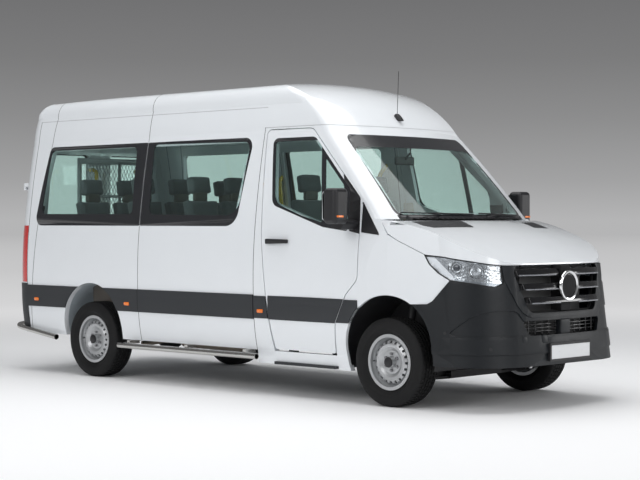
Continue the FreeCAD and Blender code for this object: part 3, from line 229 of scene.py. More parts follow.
# finish: how it is mixed, its colour (None where the user sets it) and what else the mixer is told
RECIPES = {
    "white_paint": (finish, None, dict(rough=0.24, coat=1.0, grain=700, strength=0.03, mottle=0.015)),
    "window_glass": (pane_finish, None, dict(haze=0.02)),
    "lamp_glass": (pane_finish, (0.93, 0.95, 0.97), {}),
    "trim_plastic": (finish, None, dict(rough=0.5, grain=900, depth=0.0004, strength=0.3, kind="cells")),
    "bumper_plastic": (finish, (0.0085, 0.0105, 0.0130),
                       dict(rough=0.42, grain=900, depth=0.0004, strength=0.25, kind="cells", gleam=0.36)),
    "black_plastic": (finish, (0.012, 0.012, 0.014), dict(rough=0.42, grain=900, kind="cells")),
    "gloss_black": (finish, (0.006, 0.006, 0.007), dict(rough=0.12, coat=0.4, strength=0.02, mottle=0.05)),
    "printed_border": (finish, (0.020, 0.021, 0.024), dict(rough=0.20, coat=0.3, grain=2000, strength=0.03)),
    "seam_black": (finish, (0.008, 0.008, 0.009), dict(rough=0.9, strength=0.05)),
    "seal_rubber": (finish, (0.014, 0.014, 0.015), dict(rough=0.62, grain=500)),
    "red_lens": (finish, (0.60, 0.012, 0.010),
                 dict(rough=0.12, coat=0.8, grain=160, depth=0.002, strength=0.35, kind="cells")),
    "amber_lens": (finish, (0.90, 0.20, 0.015), dict(rough=0.15, coat=0.8, grain=260, depth=0.001, kind="cells")),
    "clear_lens": (finish, (0.75, 0.76, 0.77), dict(rough=0.15, coat=0.8, grain=260, depth=0.001, kind="cells")),
    "plate_white": (finish, (0.72, 0.73, 0.74), dict(rough=0.35, grain=500, strength=0.05, mottle=0.05)),
    "underseal": (finish, (0.40, 0.45, 0.48), dict(rough=0.42, grain=240, depth=0.0012, strength=0.2)),
    "chassis_black": (finish, (0.018, 0.018, 0.02), dict(rough=0.55, grain=160, depth=0.001, mottle=0.3)),
    "polished_steel": (brushed_finish, (0.62, 0.61, 0.59), dict(rough=0.22)),
    "bright_chrome": (finish, (0.80, 0.81, 0.82), dict(rough=0.08, metal=1.0, strength=0.01, mottle=0.03)),
    "cast_metal": (finish, (0.13, 0.13, 0.13), dict(rough=0.75, metal=0.3, grain=110, depth=0.002, mottle=0.3)),
    "exhaust_steel": (brushed_finish, (0.28, 0.24, 0.20), dict(rough=0.45)),
    "seat_cloth": (cloth_finish, None, {}),
    "dash_grain": (finish, (0.10, 0.088, 0.075), dict(rough=0.55, grain=500, kind="cells")),
    "zinc_grey": (finish, (0.30, 0.32, 0.33), dict(rough=0.45, metal=0.6, grain=90, depth=0.0008, mottle=0.2)),
    "rail_yellow": (finish, None, dict(rough=0.25, coat=0.7, grain=500, strength=0.05)),
    "tyre_rubber": (finish, (0.0055, 0.0055, 0.006),
                    dict(rough=0.70, grain=260, depth=0.0008, mottle=0.25, gleam=0.35)),
    "wheel_silver": (finish, None, dict(rough=0.36, metal=0.65, coat=0.2, grain=900, strength=0.05, mottle=0.06)),
    "lamp_silver": (finish, (0.66, 0.68, 0.70), dict(rough=0.20, metal=0.8, grain=45, depth=0.004, strength=0.35,
                                                     mottle=0.45, mottle_scale=14, kind="cells")),
    "daylight_white": (finish, (0.86, 0.87, 0.88),
                       dict(rough=0.25, coat=0.6, grain=300, strength=0.05, mottle=0.03)),
    "signal_grey": (finish, (0.30, 0.32, 0.34), dict(rough=0.25, metal=0.5, grain=90, depth=0.002, kind="cells")),
    "projector_glass": (finish, (0.05, 0.055, 0.065), dict(rough=0.08, coat=1.0, strength=0.02)),
    "seam_grey": (finish, (0.42, 0.43, 0.45), dict(rough=0.5, strength=0.03)),
    "satin_line": (finish, (0.30, 0.31, 0.33), dict(rough=0.28, metal=0.6, strength=0.03)),
    "vent_mesh": (finish, (0.014, 0.015, 0.018),
                  dict(rough=0.5, grain=170, depth=0.003, strength=0.6, kind="cells")),
    "mirror_silver": (finish, (0.72, 0.74, 0.76), dict(rough=0.05, metal=1.0, strength=0.0, mottle=0.02)),
    "bolt_steel": (finish, (0.30, 0.30, 0.31), dict(rough=0.4, metal=0.9, grain=300, strength=0.1, mottle=0.2)),
    # orange that stands in for warm cabin light: a painted highlight on the dash strip and painted warm light on
    # the blinds
    "warm_panel": (finish, (0.50, 0.26, 0.11), dict(rough=0.6, grain=300, strength=0.1)),
    # beige that is partly the pillar trims' own colour and partly painted warm light falling on them
    "beige_trim": (finish, (0.50, 0.39, 0.27), dict(rough=0.6, grain=300, strength=0.1)),
    "mesh_grey": (finish, (0.44, 0.46, 0.47), dict(rough=0.4, metal=0.4, grain=300, strength=0.1)),
}
SET_BY_USER = {
    "white_paint": ("minibus_body", "paint"), "trim_plastic": ("minibus_body", "trim"),
    "window_glass": ("minibus_body", "glass"), "wheel_silver": ("minibus_wheels", "silver"),
    "seat_cloth": ("minibus_cabin", "cloth"), "rail_yellow": ("minibus_cabin", "rails"),
}
# slots of the finishes that don't go in the black plastic one
SLOTS = {
    "trim_plastic": "dark_plastic", "bumper_plastic": "dark_plastic", "amber_lens": "red_lens",
    "red_lens": "red_lens", "clear_lens": "red_lens", "lamp_silver": "lamp_lens", "daylight_white": "lamp_lens",
    "signal_grey": "lamp_lens", "projector_glass": "lamp_lens", "mirror_silver": "lamp_lens",
    "plate_white": "plate_white", "tyre_rubber": "tyre", "bolt_steel": "wheel_silver",
    "seat_cloth": "seat_fabric", "dash_grain": "dash_plastic", "warm_panel": "dash_plastic",
    "beige_trim": "dash_plastic", "rail_yellow": "yellow_rail", "mesh_grey": "lift_steel",
}
FINISHES = {}


def finish_of(name):
    """The finish called name, mixed the first time it is asked for."""
    if name not in FINISHES:
        mixer, colour, told = RECIPES[name]
        if colour is None:
            group, setting = SET_BY_USER[name]
            colour = tuple(getattr(getattr(bpy.context.scene, group), setting))
        FINISHES[name] = mixer(name, colour, **told)
    return FINISHES[name]


# ---------------------------------------------------------------- shop tools
MERGE = 0.00002     # corners of a new piece that are nearer than this are one
WELD = 0.00001      # the same for a spun outline, or a copy of a CAD node


def only(ob):
    """Make ob the one selected and active object, in object mode."""
    if bpy.context.object and bpy.context.object.mode != "OBJECT":
        bpy.ops.object.mode_set(mode="OBJECT")
    bpy.ops.object.select_all(action="DESELECT")
    ob.select_set(True)
    bpy.context.view_layer.objects.active = ob
    return ob


def deselect(mesh):
    """Leave no corner, edge or face of mesh selected."""
    for parts in (mesh.vertices, mesh.edges, mesh.polygons):
        parts.foreach_set("select", [False] * len(parts))


def open_faces(ob, pick=None):
    """Edit ob with all its faces selected, or those whose centre and normal pick accepts."""
    only(ob)
    bpy.context.tool_settings.mesh_select_mode = (False, False, True)
    if pick:
        deselect(ob.data)
        ob.data.polygons.foreach_set("select", [bool(pick(p.center, p.normal)) for p in ob.data.polygons])
    bpy.ops.object.mode_set(mode="EDIT")
    if not pick:
        bpy.ops.mesh.select_all(action="SELECT")


def close_mesh():
    """Merge doubles, turn the faces outwards and leave edit mode."""
    bpy.ops.mesh.select_all(action="SELECT")
    bpy.ops.mesh.remove_doubles(threshold=MERGE)
    bpy.ops.mesh.normals_make_consistent(inside=False)
    bpy.ops.object.mode_set(mode="OBJECT")


def ring(name, points, filled=False):
    """A closed outline whose corners stand at points."""
    bpy.ops.mesh.primitive_circle_add(vertices=len(points), radius=1, fill_type="NGON" if filled else "NOTHING")
    ob = bpy.context.object
    ob.name = ob.data.name = name
    for vertex, point in zip(ob.data.vertices, points):
        vertex.co = point
    return ob


def plate(name, outline, across, thick, segments=6):
    """A flat plate: outline rows are (u, v, corner radius), across turns u, v into a point, thick is the way
    and distance it is drawn out."""
    ob = ring(name, [across(u, v) for u, v, _ in outline], filled=True)
    for radius in sorted({r for _, _, r in outline if r > 0}):
        only(ob)
        bpy.context.tool_settings.mesh_select_mode = (True, False, False)
        corners = [across(u, v) for u, v, r in outline if r == radius]
        deselect(ob.data)
        for vertex in ob.data.vertices:
            vertex.select = any((vertex.co - c).length < 1e-5 for c in corners)
        bpy.ops.object.mode_set(mode="EDIT")
        bpy.ops.mesh.bevel(offset=radius, segments=segments, affect="VERTICES")
        bpy.ops.object.mode_set(mode="OBJECT")
    return drawn_out(ob, thick)


def drawn_out(ob, way):
    """Give a flat face its thickness."""
    open_faces(ob)
    bpy.ops.mesh.extrude_region_move(TRANSFORM_OT_translate={"value": way})
    close_mesh()
    return ob


def oblong(u0, u1, v0, v1, radius=0):
    """Outline rows of a rectangle whose corners are all rounded alike."""
    return [(u0, v0, radius), (u1, v0, radius), (u1, v1, radius), (u0, v1, radius)]


def side_plate(name, outline, y0, y1, segments=6):
    """A plate seen from the side: outline rows are x, z from the front axle and a corner radius."""
    return plate(name, outline, lambda x, z: at(x, y0, z), Vector((0, y1 - y0, 0)), segments)


def front_plate(name, outline, x0, x1, segments=6):
    """A plate seen from the front: outline rows are y, z and a corner radius."""
    return plate(name, outline, lambda y, z: at(x0, y, z), Vector((x1 - x0, 0, 0)), segments)


def plan_plate(name, outline, z0, z1, segments=6):
    """A plate seen from above: outline rows are x, y and a corner radius."""
    return plate(name, outline, lambda x, y: at(x, y, z0), Vector((0, 0, z1 - z0)), segments)


def spun(name, profile, centre, axis, steps=48):
    """A turned piece: profile rows are radius and distance along axis from centre."""
    axis = Vector(axis).normalized()
    out = axis.orthogonal().normalized()
    ob = ring(name, [centre + axis * h + out * r for r, h in profile])
    only(ob)
    bpy.context.tool_settings.mesh_select_mode = (True, False, False)
    bpy.ops.object.mode_set(mode="EDIT")
    bpy.ops.mesh.select_all(action="SELECT")
    bpy.ops.mesh.spin(steps=steps, angle=2 * math.pi, center=centre, axis=axis, use_auto_merge=True)
    bpy.ops.mesh.select_all(action="SELECT")
    bpy.ops.mesh.remove_doubles(threshold=WELD)
    bpy.ops.mesh.dissolve_degenerate(threshold=WELD)
    close_mesh()
    return ob


def tube(name, points, radius):
    """A bent rod or wire along five or more points, or a straight one between two."""
    if len(points) == 2:
        points = [points[0].lerp(points[1], i / 4) for i in range(5)]
    bpy.ops.curve.primitive_nurbs_path_add()
    ob = bpy.context.object
    ob.name = ob.data.name = name
    spline = ob.data.splines[0]
    if len(points) > 5:
        spline.points.add(len(points) - 5)
    for point, place in zip(spline.points, points):
        point.co = (*place, 1)
    spline.order_u = 3
    spline.use_endpoint_u = True
    ob.data.bevel_depth = radius
    ob.data.bevel_resolution = 4
    ob.data.use_fill_caps = True
    ob.location = (0, 0, 0)
    only(ob)
    bpy.ops.object.convert(target="MESH")
    ob = bpy.context.object
    open_faces(ob)
    close_mesh()
    return ob


def skin_of(node, name):
    """A merged copy of a CAD node's mesh, to be cut down into a new piece."""
    ob = bpy.data.objects.new(name, NODES[node].data.copy())
    bpy.context.scene.collection.objects.link(ob)
    ob.data.name = name
    ob.data.materials.clear()
    open_faces(ob)
    bpy.ops.mesh.remove_doubles(threshold=WELD)
    bpy.ops.object.mode_set(mode="OBJECT")
    return ob


def slice_off(ob, point, normal):
    """Cut away what lies on the normal's side of a plane."""
    open_faces(ob)
    bpy.ops.mesh.bisect(plane_co=point, plane_no=normal, use_fill=True, clear_outer=True)
    bpy.ops.object.mode_set(mode="OBJECT")


def trimmed(ob, *cuts):
    """Cut away what lies beyond each plane, given by a point from the front axle and a normal."""
    for point, normal in cuts:
        slice_off(ob, at(*point), normal)
    return ob


def modified(ob, kind, **settings):
    """Give ob a modifier with these settings and apply it."""
    only(ob)
    made = ob.modifiers.new("change", kind)
    for name, value in settings.items():
        setattr(made, name, value)
    bpy.ops.object.modifier_apply(modifier="change")
    return ob


def carve(ob, tool, how="DIFFERENCE"):
    """Cut ob with the closed shape tool, which is then thrown away."""
    modified(ob, "BOOLEAN", object=tool, operation=how, solver="EXACT")
    bpy.data.objects.remove(tool)
    return ob


def patch(node, name, tool):
    """The part of a CAD node's skin that lies inside tool."""
    return carve(skin_of(node, name), tool, "INTERSECT")


def swell(ob, distance):
    """Push the whole surface outwards by distance."""
    open_faces(ob)
    bpy.ops.transform.shrink_fatten(value=distance)
    bpy.ops.object.mode_set(mode="OBJECT")
    return ob


def pushed(ob, distance, facing):
    """Draw out the faces that facing accepts along their normals, leaving the rest of the piece where it is."""
    open_faces(ob, facing)
    bpy.ops.mesh.extrude_region_shrink_fatten(TRANSFORM_OT_shrink_fatten={"value": distance})
    close_mesh()
    return ob


def rounded_edges(ob, width, segments=3, angle=35):
    """Round every edge that turns by more than angle, in degrees."""
    return modified(ob, "BEVEL", width=width, segments=segments, limit_method="ANGLE",
                    angle_limit=math.radians(angle))


def moved_copy(ob, name, change):
    """A copy with its own mesh, moved by a matrix or a vector."""
    only(ob)
    bpy.ops.object.duplicate()
    twin = bpy.context.object
    twin.name = twin.data.name = name
    twin.data.transform(change if isinstance(change, Matrix) else Matrix.Translation(change))
    return twin


def joined(name, parts):
    """One piece out of several."""
    bpy.ops.object.select_all(action="DESELECT")
    for part in parts:
        part.select_set(True)
    bpy.context.view_layer.objects.active = parts[0]
    bpy.ops.object.join()
    parts[0].name = parts[0].data.name = name
    return parts[0]


def dressed(ob, look):
    """Give ob one finish all over."""
    ob.data.materials.clear()
    ob.data.materials.append(finish_of(look))


def fitted(ob, look, body="body", slot=None, angle=30):
    """Give a finished piece its look and fix it to the body it moves with."""
    only(ob)
    bpy.ops.object.transform_apply(location=True, rotation=True, scale=True)
    dressed(ob, look)
    bpy.ops.object.shade_smooth_by_angle(angle=math.radians(angle))
    slot = slot or SLOTS.get(look, "black_plastic")
    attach(ob, body)
    return ob


# ---------------------------------------------------------------- body
# finish: the CAD nodes that have it
BODY_FINISHES = {
    "white_paint": ("side_panel_right", "side_panel_left", "sliding_door_left", "cab_frame", "roof",
        "rear_frame", "rear_door_right", "rear_door_left", "front_door_right", "front_door_left",
        "bonnet", "wings", "sill_covers"),
    "window_glass": ("side_windows", "windscreen", "rear_door_glass_right", "rear_door_glass_left",
        "front_door_glass_right", "front_door_glass_left"),
    "black_plastic": ("mirror_right", "mirror_left", "fuel_tank", "front_liners"),
    "bumper_plastic": ("front_bumper",),
    "seam_black": ("grille",),
    "lamp_glass": ("headlamps",),
    "red_lens": ("tail_lamps",),
    "plate_white": ("number_plate",),
    "trim_plastic": ("mouldings",),
    "underseal": ("floor",),
    "chassis_black": ("frame_rails", "front_suspension", "rear_axle", "tow_socket"),
    "polished_steel": ("step_tubes",),
    "cast_metal": ("engine", "knuckle_left", "knuckle_right"),
    "exhaust_steel": ("exhaust",),
    "dash_grain": ("dashboard", "steering_wheel"),
    "zinc_grey": ("wheelchair_lift",),
    "rail_yellow": ("handrails",),
    "seat_cloth": ("front_seats", "passenger_seats"),
}


class MINIBUS_OT_body_finish(bpy.types.Operator):
    """Paint every carried-over node of the body, chassis and cabin"""

    bl_idname = "minibus.body_finish"
    bl_label = "Body finish"

    def execute(self, context):
        for look, nodes in BODY_FINISHES.items():
            for node in nodes:
                dressed(NODES[node], look)
        for end in ENDS:
            for side, _ in SIDES:
                dressed(NODES[f"tyre_{end}_{side}"], "tyre_rubber")
                dressed(NODES[f"wheel_{end}_{side}"], "wheel_silver")
        return {"FINISHED"}


# ---------------------------------------------------------------- borders and seams
REAR_CLEAR = [(-4.41, 2.13, 0.055), (-3.135, 2.13, 0.05), (-3.10, 1.515, 0.05), (-4.465, 1.52, 0.06)]
FRONT_CLEAR = [(-2.896, 2.145, 0.05), (-1.64, 2.13, 0.07), (-1.70, 1.50, 0.15), (-2.865, 1.513, 0.051)]
SCREEN_CLEAR = [(-0.786, 1.506, 0.05), (0.786, 1.506, 0.05), (0.752, 2.06, 0.07), (-0.752, 2.06, 0.07)]
DOOR_CLEAR = [(-1.335, 2.118, 0.03), (-1.268, 1.605, 0.07), (-0.95, 1.498, 0), (-0.705, 1.44, 0.02),
              (-0.797, 2.118, 0.021)]
DOOR_FRONT_CLEAR = [(-0.7315, 1.967, 0.012), (-0.50, 1.745, 0.014), (-0.41, 1.42, 0.015), (-0.66, 1.437, 0.016)]
REAR_LEAN = 0.06    # how far the outer edge of a rear pane leans in at its top
SEAMS = [
    # name, node beside the joint, a point in the joint, the joint's normal
    ("mid_seam_right", "side_panel_right", (-2.985, 0, 1), (1, 0, 0)),
    ("mid_seam_roof", "roof", (-2.985, 0, 1), (1, 0, 0)),
    ("mid_seam_strip", "mouldings", (-2.985, 0, 1), (1, 0, 0)),
    ("rear_seam_roof", "roof", (-4.58, 0, 0.70), (1.88, 0, -0.20)),
    ("mid_seam_left", "sliding_door_left", (-2.982, 0, 1), (1, 0, 0)),
    ("rear_seam_right", "side_panel_right", (-4.58, 0, 0.70), (1.88, 0, -0.20)),
    ("rear_seam_left", "side_panel_left", (-4.58, 0, 0.70), (1.88, 0, -0.20)),
    ("pillar_seam", "cab_frame", (-1.482, 0, 1), (1, 0, 0)),
    ("roof_seam_right", "side_panel_right", (-3, 0, 2.417), (0, 0, 1)),
    ("roof_seam_left", "side_panel_left", (-3, 0, 2.417), (0, 0, 1)),
    ("roof_seam_door", "sliding_door_left", (-3, 0, 2.417), (0, 0, 1)),
    ("cap_seam", "cab_frame", (-1, 0, 2.242), (0, 0, 1)),
    ("tail_seam_right", "rear_frame", (-4.643, 0, 1), (1, 0, 0)),
]


def cut_between(ob, point, normal, width):
    """Keep only the slice of ob, width thick, whose middle is a plane."""
    normal = Vector(normal).normalized()
    slice_off(ob, point + normal * width / 2, normal)
    slice_off(ob, point - normal * width / 2, -normal)
    return ob


def border(name, node, body, *holes):
    """A printed border on a pane, with its clear parts left out."""
    ob = skin_of(node, name)
    for hole in holes:
        carve(ob, hole)
    swell(ob, 0.0006)
    return fitted(ob, "printed_border", body)


class MINIBUS_OT_borders(bpy.types.Operator):
    """Black printed borders round the panes, and the bar in each cab door's glass"""

    bl_idname = "minibus.borders"
    bl_label = "Pane borders"

    def execute(self, context):
        border("side_pane_borders", "side_windows", "body", side_plate("hole", REAR_CLEAR, -1.3, 1.3),
               side_plate("hole", FRONT_CLEAR, -1.3, 1.3, 10))
        border("screen_border", "windscreen", "body", front_plate("hole", SCREEN_CLEAR, -1.5, 0.6, 8))
        for side, s in SIDES:
            border(f"cab_pane_border_{side}", f"front_door_glass_{side}", f"front_door_{side}",
                   side_plate("hole", DOOR_CLEAR, s * 0.5, s * 1.2),
                   side_plate("hole", DOOR_FRONT_CLEAR, s * 0.5, s * 1.2))
            low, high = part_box(f"rear_door_glass_{side}")
            y0, y1 = low.y + 0.035, high.y - 0.035
            z0, z1 = low.z + 0.04, high.z - 0.04
            clear = [(y0 + (REAR_LEAN if s < 0 else 0), z1, 0.05), (y1 - (REAR_LEAN if s > 0 else 0), z1, 0.05),
                     (y1, z0, 0.05), (y0, z0, 0.05)]
            border(f"rear_pane_border_{side}", f"rear_door_glass_{side}", f"rear_door_{side}",
                   front_plate("hole", clear, -5.2, -4.5))
        return {"FINISHED"}


class MINIBUS_OT_seams(bpy.types.Operator):
    """Dark joints between the body panels"""

    bl_idname = "minibus.seams"
    bl_label = "Panel seams"

    def execute(self, context):
        width = context.scene.minibus_body.seam
        for name, node, point, normal in SEAMS:
            ob = cut_between(skin_of(node, name), at(*point), normal, width)
            faint = name.startswith(("roof", "cap"))
            fitted(swell(ob, 0.0004), "seam_grey" if faint else "seam_black")
        return {"FINISHED"}


# ---------------------------------------------------------------- side trim
MARKERS = [-4.49, -3.136, -1.397]
HANDLE_OUTLINE = [(-1.321, 1.262, 0.012), (-1.072, 1.270, 0.012), (-1.072, 1.302, 0.012), (-1.321, 1.306, 0.012)]
FRAME_STRIPS = {
    "pillar_strip": oblong(-1.479, -1.311, 0.639, 0.826),
    "arch_strip": [(-0.545, 0.639, 0), (-0.300, 0.639, 0), (-0.300, 0.826, 0), (-0.449, 0.826, 0)],
}
STRIP_PROUD = 0.009     # how far the strips stand off the body
FILM = 0.0012           # the same for thin dark skins and lenses
BESIDE, AHEAD, BEHIND = 1.4, 0.9, -5.6      # where lines that look for a surface start from
QUARTER = [(-0.272, 1.607, 0.008), (-0.272, 1.365, 0.010), (-0.076, 1.343, 0.012)]
SAIL = [(-0.520, 1.860, 0), (-0.270, 1.62, 0), (-0.250, 1.345, 0), (-0.400, 1.375, 0)]


def touch(origin, way, *nodes):
    """Where a line from origin first meets one of the nodes, and the surface's normal there."""
    found = []
    for node in nodes:
        hit, place, normal, _ = NODES[node].ray_cast(Vector(origin), Vector(way).normalized())
        if hit:
            found.append(((place - Vector(origin)).length, place, normal))
    if not found:
        raise RuntimeError(f"no surface of {nodes} from {tuple(origin)}")
    _, place, normal = min(found, key=lambda row: row[0])
    return place, normal


def lozenge(name, place, normal, along, long, tall, thick):
    """A thin rounded block lying on a surface, its long side along a given way."""
    normal = Vector(normal).normalized()
    along = (Vector(along) - normal * Vector(along).dot(normal)).normalized()
    up = normal.cross(along)
    rows = oblong(-long / 2, long / 2, -tall / 2, tall / 2, min(long, tall) * 0.3)
    ob = plate(name, rows, lambda u, v: place - normal * thick + along * u + up * v, normal * thick * 2, 4)
    return rounded_edges(ob, thick * 0.35, 2, 40)


class MINIBUS_OT_side_trim(bpy.types.Operator):
    """Strips, handles and mirror feet of the cab doors, side markers, and the sliding door's handle and rail"""

    bl_idname = "minibus.side_trim"
    bl_label = "Side trim"

    def execute(self, context):
        for side, s in SIDES:
            body = f"front_door_{side}"
            strip = trimmed(skin_of(body, f"door_strip_{side}"), ((-1, 0, 0.639), (0, 0, -1)),
                            ((-1, 0, 0.826), (0, 0, 1)), ((-1.303, 0, 1), (-1, 0, 0)),
                            ((-0.560, 0, 0.63), (0.205, 0, -0.105)), ((-1, s * 0.955, 1), (0, -s, 0)))
            fitted(rounded_edges(swell(strip, STRIP_PROUD), 0.004, 3, 40), "trim_plastic", body)
            for name, outline in FRAME_STRIPS.items():
                strip = patch("cab_frame", f"{name}_{side}", side_plate("cut", outline, s * 0.955, s * 1.1))
                pushed(strip, STRIP_PROUD, lambda c, n: n.y * s > 0.8 and abs(c.y) > 0.97)
                fitted(rounded_edges(strip, 0.003, 3, 50), "trim_plastic")
            cover = patch("cab_frame", f"quarter_{side}", side_plate("cut", QUARTER, s * 0.90, s * 1.1))
            pushed(cover, 0.0075, lambda c, n: n.y * s > 0.7)
            fitted(cover, "black_plastic")
            handle = side_plate(f"handle_{side}", HANDLE_OUTLINE, s * 0.985, s * 1.0145)
            fitted(rounded_edges(handle, 0.004), "black_plastic", body)
            sail = patch(body, f"sail_{side}", side_plate("cut", SAIL, s * 0.9, s * 1.1))
            fitted(swell(sail, 0.0016), "black_plastic", body)
            for i, x in enumerate(MARKERS):
                on_door = x > -1.45
                place, normal = touch(at(x, s * BESIDE, 0.70), (0, -s, 0), "mouldings", f"side_panel_{side}",
                                      body, "cab_frame", "side_panel_right", "sliding_door_left")
                if on_door:
                    place = place + Vector((0, s * STRIP_PROUD, 0))
                lens = lozenge(f"marker_{side}_{i}", place, normal, (1, 0, 0), 0.068, 0.030, 0.006)
                fitted(lens, "amber_lens", body if on_door else "body")
        place, _ = touch(at(-1.66, BESIDE, 1.27), (0, -1, 0), "sliding_door_left")
        grip = side_plate("slider_handle", oblong(-1.78, -1.545, 1.255, 1.298, 0.012), place.y - 0.012,
                          place.y + 0.030)
        fitted(rounded_edges(grip, 0.006), "black_plastic")
        place, _ = touch(at(-3.8, BESIDE, 1.22), (0, -1, 0), "side_panel_left")
        rail = side_plate("slider_rail", oblong(-4.45, -3.02, 1.205, 1.235, 0.006), place.y - 0.012,
                          place.y + 0.006)
        fitted(rounded_edges(rail, 0.002, 2), "black_plastic")
        return {"FINISHED"}


# ---------------------------------------------------------------- nose
LAMP_OUTLINE = [(-0.414, 1.190), (-0.381, 1.121), (-0.316, 1.053), (-0.230, 0.997), (-0.083, 0.976),
                (0.101, 0.948), (0.172, 0.978), (0.150, 1.125), (0.10, 1.14), (-0.20, 1.185)]
PROJECTORS = [(0.613, 0.877, 1.098), (0.753, 0.804, 1.074)]
PROJECTOR_WELL = [(0, -0.002), (0.070, -0.002), (0.070, 0.0014), (0, 0.0014)]
PLAIN_RING = [(0.094, -0.012), (0.116, -0.012), (0.120, -0.004), (0.117, 0.006), (0.110, 0.011), (0.101, 0.009),
               (0.095, 0.002)]
PLAIN_DISC = [(0, -0.034), (0.096, -0.034), (0.096, -0.006), (0.090, -0.003), (0, 0.001)]
SENSORS = [
    # where it is looked for, the way it faces
    ((0.553, 0.933, 0.602), (0.6, 0.8)),
    ((0.869, 0.784, 0.485), (0.85, 0.5)),
]
SENSOR = [(0, 0.0), (0.0125, 0.0), (0.0125, 0.0035), (0.0105, 0.005), (0, 0.0052)]
SLAT_HEIGHTS = [1.039, 0.930, 0.825]
SURROUND = [(-0.672, 1.060, 0.10), (-0.655, 1.20, 0), (0.655, 1.20, 0), (0.672, 1.060, 0.10), (0.500, 0.710, 0.12),
            (-0.500, 0.710, 0.12)]
RECESS = [(-0.935, 0.582, 0.03), (-0.905, 0.668, 0.05), (-0.838, 0.750, 0.05), (-0.700, 0.776, 0.05),
          (-0.560, 0.770, 0.04), (-0.485, 0.690, 0), (-0.440, 0.582, 0)]
COVER_X = 0.30          # the raised skin of the bumper runs from here forwards
COVER_PROUD = 0.007     # how far that skin and the band below it stand out
BAND_PROUD = 0.0105


def corner_plate(name, outline, s):
    """A plate through the nose's corner, seen from 45 degrees ahead; outline rows are u, z, radius."""
    root = math.sqrt(0.5)
    return plate(name, outline, lambda u, z: at((u + 0.5) * root, s * (0.5 - u) * root, z),
                 Vector((1.2 * root, s * 1.2 * root, 0)), 4)


def drawn_in(outline, by):
    """Rows u, v of an outline that turns one way, moved inwards by a distance."""
    count = len(outline)
    area = sum(outline[i][0] * outline[(i + 1) % count][1] - outline[(i + 1) % count][0] * outline[i][1]
               for i in range(count))
    sign = 1 if area > 0 else -1
    rows = []
    for i in range(count):
        before, here, after = (Vector(outline[j % count][:2]) for j in (i - 1, i, i + 1))
        one, two = (here - before).normalized(), (after - here).normalized()
        in_one, in_two = Vector((-one.y, one.x)) * sign, Vector((-two.y, two.x)) * sign
        mid = (in_one + in_two)
        mid = mid / max(mid.length_squared, 0.4) * 2
        rows.append((here.x + mid.x * by, here.y + mid.y * by, 0))
    return rows


class MINIBUS_OT_headlamps(bpy.types.Operator):
    """Reflector bowls, projectors, daylight strips and dark edges of the headlamps"""

    bl_idname = "minibus.headlamps"
    bl_label = "Headlamps"

    def execute(self, context):
        edge = skin_of("headlamps", "lamp_edges")
        for _, s in SIDES:
            carve(edge, corner_plate("hole", drawn_in(LAMP_OUTLINE, 0.008), s))
        fitted(swell(edge, FILM), "seal_rubber")
        fitted(swell(skin_of("headlamps", "lamp_bowls"), -0.0075), "lamp_silver")
        strip = swell(skin_of("headlamps", "daylight_strips"), -0.0065)
        top = Vector((0.637, 0, 0.771))
        slice_off(strip, at(0.45, 0, 1.09) + top * 0.045, top)
        trimmed(strip, ((0.60, 0, 1), (1, 0, 0.35)))
        fitted(swell(strip, -0.0002), "daylight_white")
        band = swell(skin_of("headlamps", "lamp_signal_bands"), -0.0068)
        fitted(trimmed(band, ((0.7, 0, 1.000), (0.12, 0, 1)), ((0.575, 0, 1), (-1, 0, -0.35))), "signal_grey")
        for side, s in SIDES:
            for i, (x, y, z) in enumerate(PROJECTORS):
                way = Vector((0.80, s * 0.60, 0.0)).normalized()
                place, normal = touch(at(x, s * y, z) + way * 0.3, -way, "headlamps")
                centre = place - normal * 0.014
                wide = 0.058 if i else 0.046
                if i == 0:
                    well = spun(f"projector_well_{side}", PROJECTOR_WELL, centre, normal, 40)
                    fitted(well, "gloss_black", slot="lamp_lens")
                rim = [(wide - 0.014, 0.0), (wide, 0.0), (wide + 0.002, 0.005), (wide - 0.002, 0.010),
                       (wide - 0.009, 0.010), (wide - 0.013, 0.004)]
                collar = spun(f"projector_ring_{side}_{i}", rim, centre, normal, 40)
                fitted(collar, "bright_chrome", slot="lamp_lens")
                bulge = [(0, 0.0), (wide - 0.013, 0.0), (wide - 0.014, 0.003), (0.026, 0.0075), (0.014, 0.010),
                         (0, 0.0108)]
                dome = spun(f"projector_eye_{side}_{i}", bulge, centre, normal, 32)
                fitted(dome, "lamp_silver" if i else "projector_glass")
        return {"FINISHED"}


def slat_x(proud, y, z):
    """How far forward the bowed slats stand, which step forward downwards."""
    return proud - 0.21 * y * y + (1.05 - z) * 0.2


